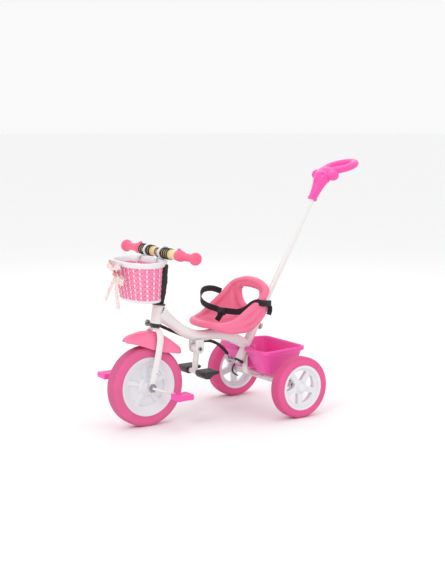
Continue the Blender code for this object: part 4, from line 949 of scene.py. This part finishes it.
def build_weld(name, where, radius, low, high, wide):
    """A small fillet of weld bead round the joint of the main tube and the head tube."""
    path = []
    for step in range(49):
        angle = 2 * pi * step / 48
        x = wide * 0.93 * cos(angle)
        bend = sqrt(max(0.0, radius * radius - min(abs(x), radius * 0.985) ** 2))
        height = (low + high) / 2 + (high - low) / 2 * sin(angle)
        path.append((max(-radius * 0.985, min(radius * 0.985, x)), bend, height))
    rings = []
    for index, point in enumerate(path[:-1]):
        ripple = 1.4 + 0.15 * sin(index * 2.4)
        after = Vector(path[index + 1]) - Vector(path[index - 1])
        along = after.normalized()
        across = Vector((0, 1, 0)) - along * along.y
        across.normalize()
        up = along.cross(across)
        rings.append([Vector(point) + across * u * ripple + up * v * ripple for u, v in oval(1, 1, 10)])
    piece(name, lofted(rings, closed_loop=True), WHITE_PAINT, FRAME, where, (), sharp=60)


def build_stay():
    """A bent flat bar from the back of the socket to the axle tube."""
    ground = GROUND.inverted() @ BAR
    upper = ground @ Vector((0, 17.3, 46))
    lower = ground @ Vector((0, 17.3, 20))
    route = [upper, lower, (0, 146.5, 160), (0, 147, 134), (0, 152, 119), (0, 166, 112.5), (0, 198, 104.5),
             (0, 212.2, 101.5)]
    section = soften([(-12, -2.4), (12, -2.4), (12, 2.4), (-12, 2.4)], 1.2, 3)
    piece("stay_paint", swept(curve_through(route, 8), section), WHITE_PAINT, FRAME, GROUND, ["axle_stay"], sharp=50)


def build_rear_axle():
    middle = (REAR_AXLE["left"] + REAR_AXLE["right"]) / 2
    where = upright(middle)
    parts = [pipe(12.5, 10.5, -156, 156, "X", 80)]
    for side_name, side in SIDES:
        lug = soften([(-17.5, 22), (-13, 24.5), (-8.5, 22.5), (-1, 11.6), (-9, 7), (-18.5, 16)], 2, 3)
        parts.append(plate(lug, 3, "X", side * 141))
        parts.append(moved(rod(2, *sorted((side * 140, side * 153)), "X", 24), (0, -14, 19.5)))
    piece("rear_axle_paint", joined(*parts), WHITE_PAINT, FRAME, where, ["rear_axle_tube"],
          bevel=0.3)
    piece("rear_axle_rod", rod(5, -200, 200, "X", 40), STEEL, FRAME, where, ["rear_axle"])


# ---------------------------------------------------------------- footrest
def build_footrest():
    for side_name, side in SIDES:
        outline = [(-54, 252), (-56, 224)] + arc((-40, 221), 15, 195, 345, 20) + [(-24, 224), (-26, 252)]
        holes = [cutter(rod(4.3, -30, 30, "X"), upright(FOOT_PIVOT)),
                 cutter(rod(2.6, -30, 30, "X"), upright(mm(0, -45, 240)))]
        piece("ear_" + side_name, plate(outline, 3.6, "X", side * 19.6), WHITE_PAINT, FRAME, GROUND,
              ["footrest_bracket_" + side_name], bevel=0.6, cutters=holes)
    hexagon = [(7 * cos(pi * i / 3), 7 * sin(pi * i / 3)) for i in range(6)]
    heads = [plate(hexagon, 3.2, "X", 23.4), plate(hexagon, 3.2, "X", -23.4)]
    piece("pivot_bolt", joined(rod(4, -25, 25, "X"), *heads), STEEL, FRAME, upright(FOOT_PIVOT),
          ["footrest_bolt"], bevel=0.4)
    pin = upright(FOOT_PIVOT)
    drop = pin.inverted() @ FOOT_TUBE
    lean = atan2(drop.y, -drop.z)
    length = drop.length
    stem = moved(rod(9.5, -length, -6, segments=64), (0, 0, 0), (lean, 0, 0))
    lug = rod(12, -16, 16, "X", 64)
    cross = moved(rod(8, -78, 78, "X", 56), drop)
    shape = joined(stem, lug, cross)
    piece("footrest_paint", shape, WHITE_PAINT, "footrest_body", pin, ["footrest_stem"])
    for side_name, side in SIDES:
        build_foot_pad(side_name, side)


def build_foot_pad(side_name, side):
    """A moulded black pad, thick over the tube and thin at the back, with ridges across its top."""
    low = [(-14, 8), (-14, -3), (-9, -11), (5, -12), (12, -7), (20, 0), (40, 2), (42, 6)]
    ridges = [(41, 9.4)]
    for step in range(9):
        y = 36.5 - 5.4 * step
        ridges += [(y + 1.9, 9.8), (y + 1.3, 11.0), (y - 1.3, 11.0), (y - 1.9, 9.8)]
    outline = soften(low, 2.5, 3, closed=False) + ridges + [(-12.5, 9.6)]
    rings = []
    for x, scale in ((-29, 0.88), (-28.3, 0.94), (-27, 0.98), (-25, 1), (25, 1), (27, 0.98), (28.3, 0.94), (29, 0.88)):
        rings.append([(x, y * scale, z * scale) for y, z in outline])
    where = upright(FOOT_TUBE + Vector((side * 53 * MM, 0, 0)))
    bore = cutter(rod(8.3, *sorted((-side * 40, side * 25.3)), "X"), where)
    piece("foot_pad_" + side_name, lofted(rings), BLACK, "footrest_body", where, ["footrest_pad_" + side_name],
          bevel=0.35, cutters=[bore], sharp=30)


# ---------------------------------------------------------------- bin
BIN_FLOOR = (167, 285, 100, 88, 32, 190, 18)
BIN_TOP = (133, 306, 125, 108, 21, 172, 22)
BIN_FLANGE = (127, 312, 131, 114, 20, 171, 26)


def bin_outline(plan, height, inset=0.0):
    """The bin's plan at a height, with rounded corners and the notch for the push bar's socket."""
    front, rear, half_front, half_rear, notch, notch_back, corner = plan
    f, r, wf, wr = front + inset, rear - inset, half_front - inset, half_rear - inset
    n, nb, c = notch + inset, notch_back + inset, corner - inset
    inner = [(0, nb), (n - 8, nb)] + arc((n - 8, nb - 8), 8, 90, 0, 6)[1:] + [(n, f + 8)]
    inner += arc((n + 7, f + 7), 7, 180, 270, 6)
    right = inner + arc((wf - c, f + c), c, -90, 0, 10) + [(wf - 1, (f + r) / 2)] + arc((wr - c, r - c), c, 0, 90, 10)
    right[-12] = ((wf + wr) / 2 + 0.6, (f + r) / 2)
    left = [(-x, y) for x, y in reversed(right[1:])]
    return [(x, y, height) for x, y in right + [(0, r)] + left]


def between(low, high, t):
    return tuple(a + (b - a) * t for a, b in zip(low, high))


def build_bin():
    """A tapered moulded bin with a rolled rim, standing on two feet on the axle tube."""
    levels = [(BIN_FLOOR, 126, 5), (BIN_FLOOR, 126.3, 3), (BIN_FLOOR, 127.6, 1), (BIN_FLOOR, 130, -0.3)]
    for step in range(1, 10):
        levels.append((between(BIN_FLOOR, BIN_TOP, 0.053 + 0.0947 * step), 130 + 7.0 * step, 0))
    levels += [(BIN_TOP, 195.0, 0.2), (BIN_TOP, 196.0, -1.5), (BIN_FLANGE, 196.3, 1.6), (BIN_FLANGE, 196.8, 0.6),
               (BIN_FLANGE, 198, 0.1), (BIN_FLANGE, 206.2, 0), (BIN_FLANGE, 208, 0.6), (BIN_FLANGE, 208.9, 2),
               (BIN_FLANGE, 209, 4), (BIN_TOP, 208.6, 0.4), (BIN_TOP, 207.4, 1.8), (BIN_TOP, 204, 2.6)]
    for step in range(9, 0, -1):
        levels.append((between(BIN_FLOOR, BIN_TOP, 0.053 + 0.0947 * step), 130 + 7.0 * step, 2.6))
    levels += [(BIN_FLOOR, 131.5, 2.6), (BIN_FLOOR, 129.4, 3.6), (BIN_FLOOR, 128.7, 5.6)]
    rings = [bin_outline(plan, height, inset) for plan, height, inset in levels]
    piece("bin_shell", lofted(rings), MAGENTA, FRAME, GROUND, ["bin"], sharp=50)
    feet = [block((side * 62, 227.5, 118.9), (24, 20, 16.4)) for side_name, side in SIDES]
    piece("bin_feet", joined(*feet), MAGENTA, FRAME, GROUND, (), bevel=1.2)
    screw = [(0, 0), (4.2, 0), (4.2, 1.2), (3, 2.2), (0, 2.4)]
    screws = [moved(turned(screw, 32, corner=0.3), (side * 62, 227.5, 128.6)) for side_name, side in SIDES]
    piece("bin_screws", joined(*screws), STEEL, FRAME, GROUND, ())


# ---------------------------------------------------------------- push bar and its handle
def build_push_bar():
    piece("push_bar_paint", pipe(PUSH_BAR_R, 8, -14, 635, segments=64), WHITE_PAINT, "push_bar_body", BAR,
          ["push_bar"])
    start = 580
    sizes = ((12, 14.5, 14.5), (22, 15.4, 15.0), (34, 17, 16), (46, 19.2, 17.8), (58, 22, 20), (68, 25.8, 22.4),
             (78, 30, 24), (87, 33, 23.6), (94, 33.6, 22), (100, 30, 18), (104, 23, 13))
    neck = lofted([[(x, y, start + along) for x, y in oval(wide, deep, 64)] for along, wide, deep in sizes])
    ring_place = BAR.inverted() @ Matrix.LocRotScale(mm(0, 530, 774), Euler((radians(14), 0, 0)), Vector((MM, MM, MM)))
    loop = []
    for step in range(96):
        angle = 2 * pi * step / 96
        out = Vector((cos(angle), sin(angle), 0))
        hub = Vector((46 * out.x, 52 * out.y, 0))
        loop.append([ring_place @ (hub + out * a + Vector((0, 0, b))) for a, b in oval(13.5, 12, 32)])
    lobes = []
    for x, y, z, half_wide, half_deep, half_tall in ((41, 468, 748, 18, 21, 17), (-41, 468, 748, 18, 21, 17),
                                                     (0, 474, 756, 46, 24, 19), (12, 456, 738, 22, 18, 18),
                                                     (-12, 456, 738, 22, 18, 18)):
        lobe = bmesh.new()
        bmesh.ops.create_uvsphere(lobe, u_segments=32, v_segments=20, radius=1)
        bmesh.ops.transform(lobe, matrix=BAR.inverted() @ Matrix.LocRotScale(
            mm(x, y, z), None, Vector((half_wide, half_deep, half_tall)) * MM), verts=lobe.verts)
        lobes.append(lobe)
    bore = cutter(rod(9.8, start - 20, start + 55.5, segments=64), BAR)
    screws = [cutter(moved(rod(2.6, 13, 40, segments=24), (x, 0, start + along), (pi / 2, 0, 0)), BAR)
              for x, along in ((0, 60), (-19, 88), (19, 88))]
    shape = joined(neck, lofted(loop, closed_loop=True), *lobes)
    bmesh.ops.transform(shape, matrix=GROUND.inverted() @ BAR, verts=shape.verts)
    piece("handle_shell", shape, MAGENTA, "push_bar_body", GROUND, ["push_handle"], voxel=1.3,
          smooth=24, cutters=[bore] + screws, sharp=60)
    collar = [(9.8, start), (13.4, start), (15.5, start + 1.4), (15.7, start + 5), (15.5, start + 9),
              (14.0, start + 11), (13.4, start + 14), (9.8, start + 14)]
    piece("handle_collar", turned(collar, 80), MAGENTA, "push_bar_body", BAR, ())


def build_lock_knob():
    """A plated knob with a fluted edge on its clamping screw."""
    where = BAR @ Matrix.Translation((0, 0, 130)) @ Matrix.Rotation(-pi / 2, 4, "X")
    profile = [(0, 9.8), (3.5, 9.8), (3.5, 16.5), (8.2, 16.5), (9.6, 17.6), (10.5, 20), (10.3, 23.5), (9, 25.2),
               (6.5, 26.6), (4, 27.3), (0, 27.5)]
    piece("knob_plated", turned(profile, 72), CHROME, "knob_body", where, ["lock_knob"])
    ridges = [moved(rod(0.9, 18, 24, segments=12), (10.1 * cos(pi * i / 12), 10.1 * sin(pi * i / 12), 0))
              for i in range(24)]
    piece("knob_flutes", joined(*ridges), CHROME, "knob_body", where, ())


# ---------------------------------------------------------------- seat and harness
SEAT_ROWS = [  # rim half width, rim y, rim z, middle y, middle z, from the nose to the top of the back
    (16, -30, 300, -31, 300), (44, -24, 300, -24, 301), (70, -8, 299, -4, 297), (86, 14, 300, 22, 290),
    (94, 38, 306, 52, 286), (97, 59, 317, 84, 284), (98, 82, 333, 112, 287), (99, 110, 352, 136, 298),
    (100, 135, 371, 153, 316), (99, 152, 387, 162, 336), (93, 162, 398, 166, 356), (81, 167, 406, 169, 376),
    (63, 171, 412, 172, 394), (41, 173, 418, 174, 408), (17, 174, 421, 175, 420)]
SEAT_RIMS = curve_through([(half, y, z) for half, y, z, mid_y, mid_z in SEAT_ROWS], 4)
SEAT_MIDS = curve_through([(0, mid_y, mid_z) for half, y, z, mid_y, mid_z in SEAT_ROWS], 4)
SEAT_COLUMNS = [2 * column / 32 - 1 for column in range(33)]
STRAP_LEFT = [(90, 177, 328), (95, 178, 342), (101, 176, 355), (110, 166, 361), (115, 150, 362), (115, 134, 364),
              (107, 118, 368), (94, 108, 361), (78, 101, 347), (62, 93, 337), (46, 84, 332), (32, 75, 332),
              (17, 64, 333)]
STRAP_RIGHT = [(-14, 44, 338), (-40, 28, 346), (-66, 24, 356), (-88, 33, 372), (-103, 52, 386), (-112, 80, 388),
               (-114, 104, 384), (-114, 130, 374)]


def seat_point(row, across):
    rim, middle = SEAT_RIMS[row], SEAT_MIDS[row]
    rise = abs(across) ** 3.6
    return Vector((rim.x * across, middle.y + (rim.y - middle.y) * rise, middle.z + (rim.z - middle.z) * rise))


def build_seat():
    """A deep moulded bucket with a thick rolled edge and a grab opening under a round limb."""
    last = len(SEAT_RIMS) - 1
    rings = []
    for row in range(last + 1):
        upper, lower = [], []
        for across in SEAT_COLUMNS:
            sideways = seat_point(row, min(1, across + 0.05)) - seat_point(row, max(-1, across - 0.05))
            along = seat_point(min(last, row + 1), across) - seat_point(max(0, row - 1), across)
            lift = sideways.cross(along).normalized() * 6.5
            upper.append(seat_point(row, across) + lift)
            lower.append(seat_point(row, across) - lift)
        rings.append(upper + lower[::-1])
    left_edge = [seat_point(row, -1) for row in range(last + 1)]
    right_edge = [seat_point(row, 1) for row in range(last, -1, -1)]
    rim = left_edge + right_edge
    parts = [swept(rim + rim[:3], lambda t: oval(11.5, 11.5, 32), (0, -0.6, 0.8))]
    opening, inside = [], []
    for step in range(72):
        angle = 2 * pi * step / 72
        level = 368 + 40 * sin(angle)
        row = min(range(last + 1), key=lambda number: abs(SEAT_MIDS[number].z - level))
        slide = (level - SEAT_MIDS[row].z) * Vector((0, 0.1, 1))
        opening.append(seat_point(row, 67 * cos(angle) / SEAT_RIMS[row].x) + slide)
        inside.append((57.5 * cos(angle), opening[-1].z - 9.5 * sin(angle)))
    parts.append(swept(opening + opening[:2], lambda t: oval(10, 10, 32), (0, 1, 0)))
    low = ((60, -10, 297), (78, 0, 291), (91, 22, 286), (96, 58, 284), (96, 90, 287), (96, 118, 302),
           (97, 142, 326), (98, 158, 358))
    middle = ((70, -4, 299), (84, 4, 296), (94, 24, 297), (98, 58, 300), (99, 88, 310), (99, 114, 327),
              (99, 136, 350), (98, 152, 374))
    for side_name, side in SIDES:
        for bulge in (low, middle):
            belly = curve_through([(side * x, y, z) for x, y, z in bulge], 6)
            parts.append(swept(belly, oval(12, 12, 32), (0, 1, 0)))
    hole = cutter(lofted([[(x, y, z) for x, z in inside] for y in (90, 240)]))
    piece("seat_shell", joined(lofted(rings), *parts), SEAT_PINK, FRAME, GROUND, ["seat"],
          voxel=2.0, smooth=16, cutters=[hole], sharp=60)


def build_harness():
    woven_piece("strap_weave_left", [ribbon(STRAP_LEFT + [(9, 58.5, 332)], 19, thick=2.0)], WEBBING, FRAME,
                ["harness_strap_left"])
    woven_piece("strap_weave_right", [ribbon([(-6, 50, 335)] + STRAP_RIGHT, 19, thick=2.0)], WEBBING, FRAME,
                ["harness_strap_right"])
    tails = [ribbon([(9, 50, 326), (7, 46, 320), (4, 41, 311), (1, 37, 303)], 17, thick=1.8),
             ribbon([(116.5, 158, 353), (118.5, 160, 345), (117.5, 158, 334), (116, 156, 326)], 15, thick=1.6)]
    woven_piece("strap_tails", tails, WEBBING, FRAME, ())
    where = GROUND @ Matrix.Translation((1.5, 54, 331)) @ Matrix.Rotation(radians(28), 4, "Z")
    body = block((0, 0, 0), (27, 8.5, 25))
    bmesh.ops.bevel(body, geom=body.edges[:], offset=2.8, segments=4, affect="EDGES", profile=0.6)
    cuts = [plate(soften([(-9.5, z - 3.2), (-3, z - 2.2), (-3, z + 2.2), (-9.5, z + 3.2)], 1, 3), 3, "Y", y)
            for z in (-7, 7) for y in (-4.4, 4.4)]
    cuts.append(plate(soften([(6.5, -9.5), (9.2, -9.5), (9.2, 9.5), (6.5, 9.5)], 1, 3), 20, "Y"))
    piece("buckle_shell", body, BLACK, FRAME, where, ["harness_buckle"],
          cutters=[cutter(joined(*cuts), where)])
    button = turned([(0, 0), (4.5, 0), (4.5, 0.7), (3.4, 1.2), (0, 1.3)], 40, corner=0.3)
    piece("buckle_button", moved(button, (1, -4.2, 0), (pi / 2, 0, 0)), BLACK, FRAME, where, ())


def build_saddle():
    route = [(0, 8, 281.6), (0, 30, 281.2), (0, 50, 278), (0, 66, 274.2)]
    section = soften([(-15, -1.4), (15, -1.4), (15, 1.4), (-15, 1.4)], 0.6, 2)
    piece("saddle_strap", swept(curve_through(route, 6), section), STEEL, FRAME, GROUND, ["seat_saddle"], sharp=50)


# ---------------------------------------------------------------- wheel-lock levers
def build_lever(side_name, side):
    where = upright(pivot("brake_%s_press" % side_name))
    body = "brake_%s_body" % side_name
    curve = [(0, 0, 0), (0, -9, -5), (0, -15, -16), (0, -14, -28), (0, -4, -38), (0, 8, -44)]
    path = curve_through(curve, 8)[3:]
    wire = swept(path, lambda t: oval(2.8 - 0.7 * (t > 0.985), 2.8 - 0.7 * (t > 0.985), 24))
    piece("lever_wire_" + side_name, joined(wire, pipe(5, 2.3, -4, 4, "X", 40)), BLACK_STEEL, body, where,
          ["brake_lever_" + side_name], sharp=50)
    tip = swept(path[-6:], lambda t: oval(3.0 if t < 0.95 else 2.2, 3.0 if t < 0.95 else 2.2, 24))
    piece("lever_tip_" + side_name, tip, STEEL, body, where, (), sharp=50)


# ---------------------------------------------------------------- the tricycle
build_tyre("front_tyre", FRONT_FOAM, "front_wheel_body", FRONT_AXLE, FRONT_TYRE_R, FRONT_RIM_R, FRONT_HALF_WIDTH,
           TREAD_HALF)
build_front_rim()
build_crank()
build_fork()
build_head()
build_column()
build_handlebar()
build_basket()
build_bow()
build_fender()
build_linkage()
build_frame()
build_footrest()
build_bin()
build_push_bar()
build_lock_knob()
build_seat()
build_harness()
build_saddle()
for side_name, side in SIDES:
    build_rear_wheel(side_name, side)
    build_pedal(side_name, side)
    build_hub_washer(side_name, side)
    build_lever(side_name, side)


# ---------------------------------------------------------------- studio
def build_studio():
    floor = bpy.data.materials.new("studio_floor")
    floor.use_nodes = True
    tree = floor.node_tree
    shader = tree.nodes["Principled BSDF"]
    shader.inputs["Roughness"].default_value = 0.9
    where = node(tree, "ShaderNodeTexCoord").outputs["Object"]
    tree.links.new(tinted(tree, noise(tree, where, 3), (0.96, 0.96, 0.963), 0.004), shader.inputs["Base Color"])
    shape = bmesh.new()
    bmesh.ops.create_circle(shape, cap_ends=True, radius=30, segments=96)
    mesh = bpy.data.meshes.new("studio_floor")
    shape.to_mesh(mesh)
    shape.free()
    mesh.shade_smooth()
    mesh.materials.append(floor)
    made = bpy.data.objects.new("studio_floor", mesh)
    bpy.context.scene.collection.objects.link(made)
    world = bpy.data.worlds.new("studio_world")
    world.use_nodes = True
    background = world.node_tree.nodes["Background"]
    background.inputs["Color"].default_value = (1.0, 1.0, 1.0, 1)
    background.inputs["Strength"].default_value = 0.95
    bpy.context.scene.world = world
    scene = bpy.context.scene
    scene.view_settings.view_transform = "Standard"
    for name, place, size, power in (("key", (1.6, -3.0, 2.8), 1.2, 24), ("fill", (3.2, 1.8, 1.6), 2.4, 3),
                                     ("top", (-0.4, 0.6, 3.2), 2.2, 12), ("back", (-2.6, 1.4, 2.0), 2.0, 5)):
        light = bpy.data.lights.new(name, "AREA")
        light.shape = "DISK"
        light.size = size
        light.energy = power
        lamp = bpy.data.objects.new(name, light)
        scene.collection.objects.link(lamp)
        lamp.location = place
        lamp.rotation_euler = (Vector((0, 0, 0.3)) - Vector(place)).to_track_quat("-Z", "Y").to_euler()


CAMERA_TURN = radians(56.2176)
lens = bpy.data.cameras.new("camera")
lens.lens = 78.687
lens.sensor_width = 36
camera = bpy.data.objects.new("camera", lens)
bpy.context.scene.collection.objects.link(camera)
camera.location = (3.2749, -2.2514, 1.0087)
camera.rotation_euler = (radians(90 - 8.6927), 0, CAMERA_TURN)
bpy.context.scene.camera = camera
build_studio()
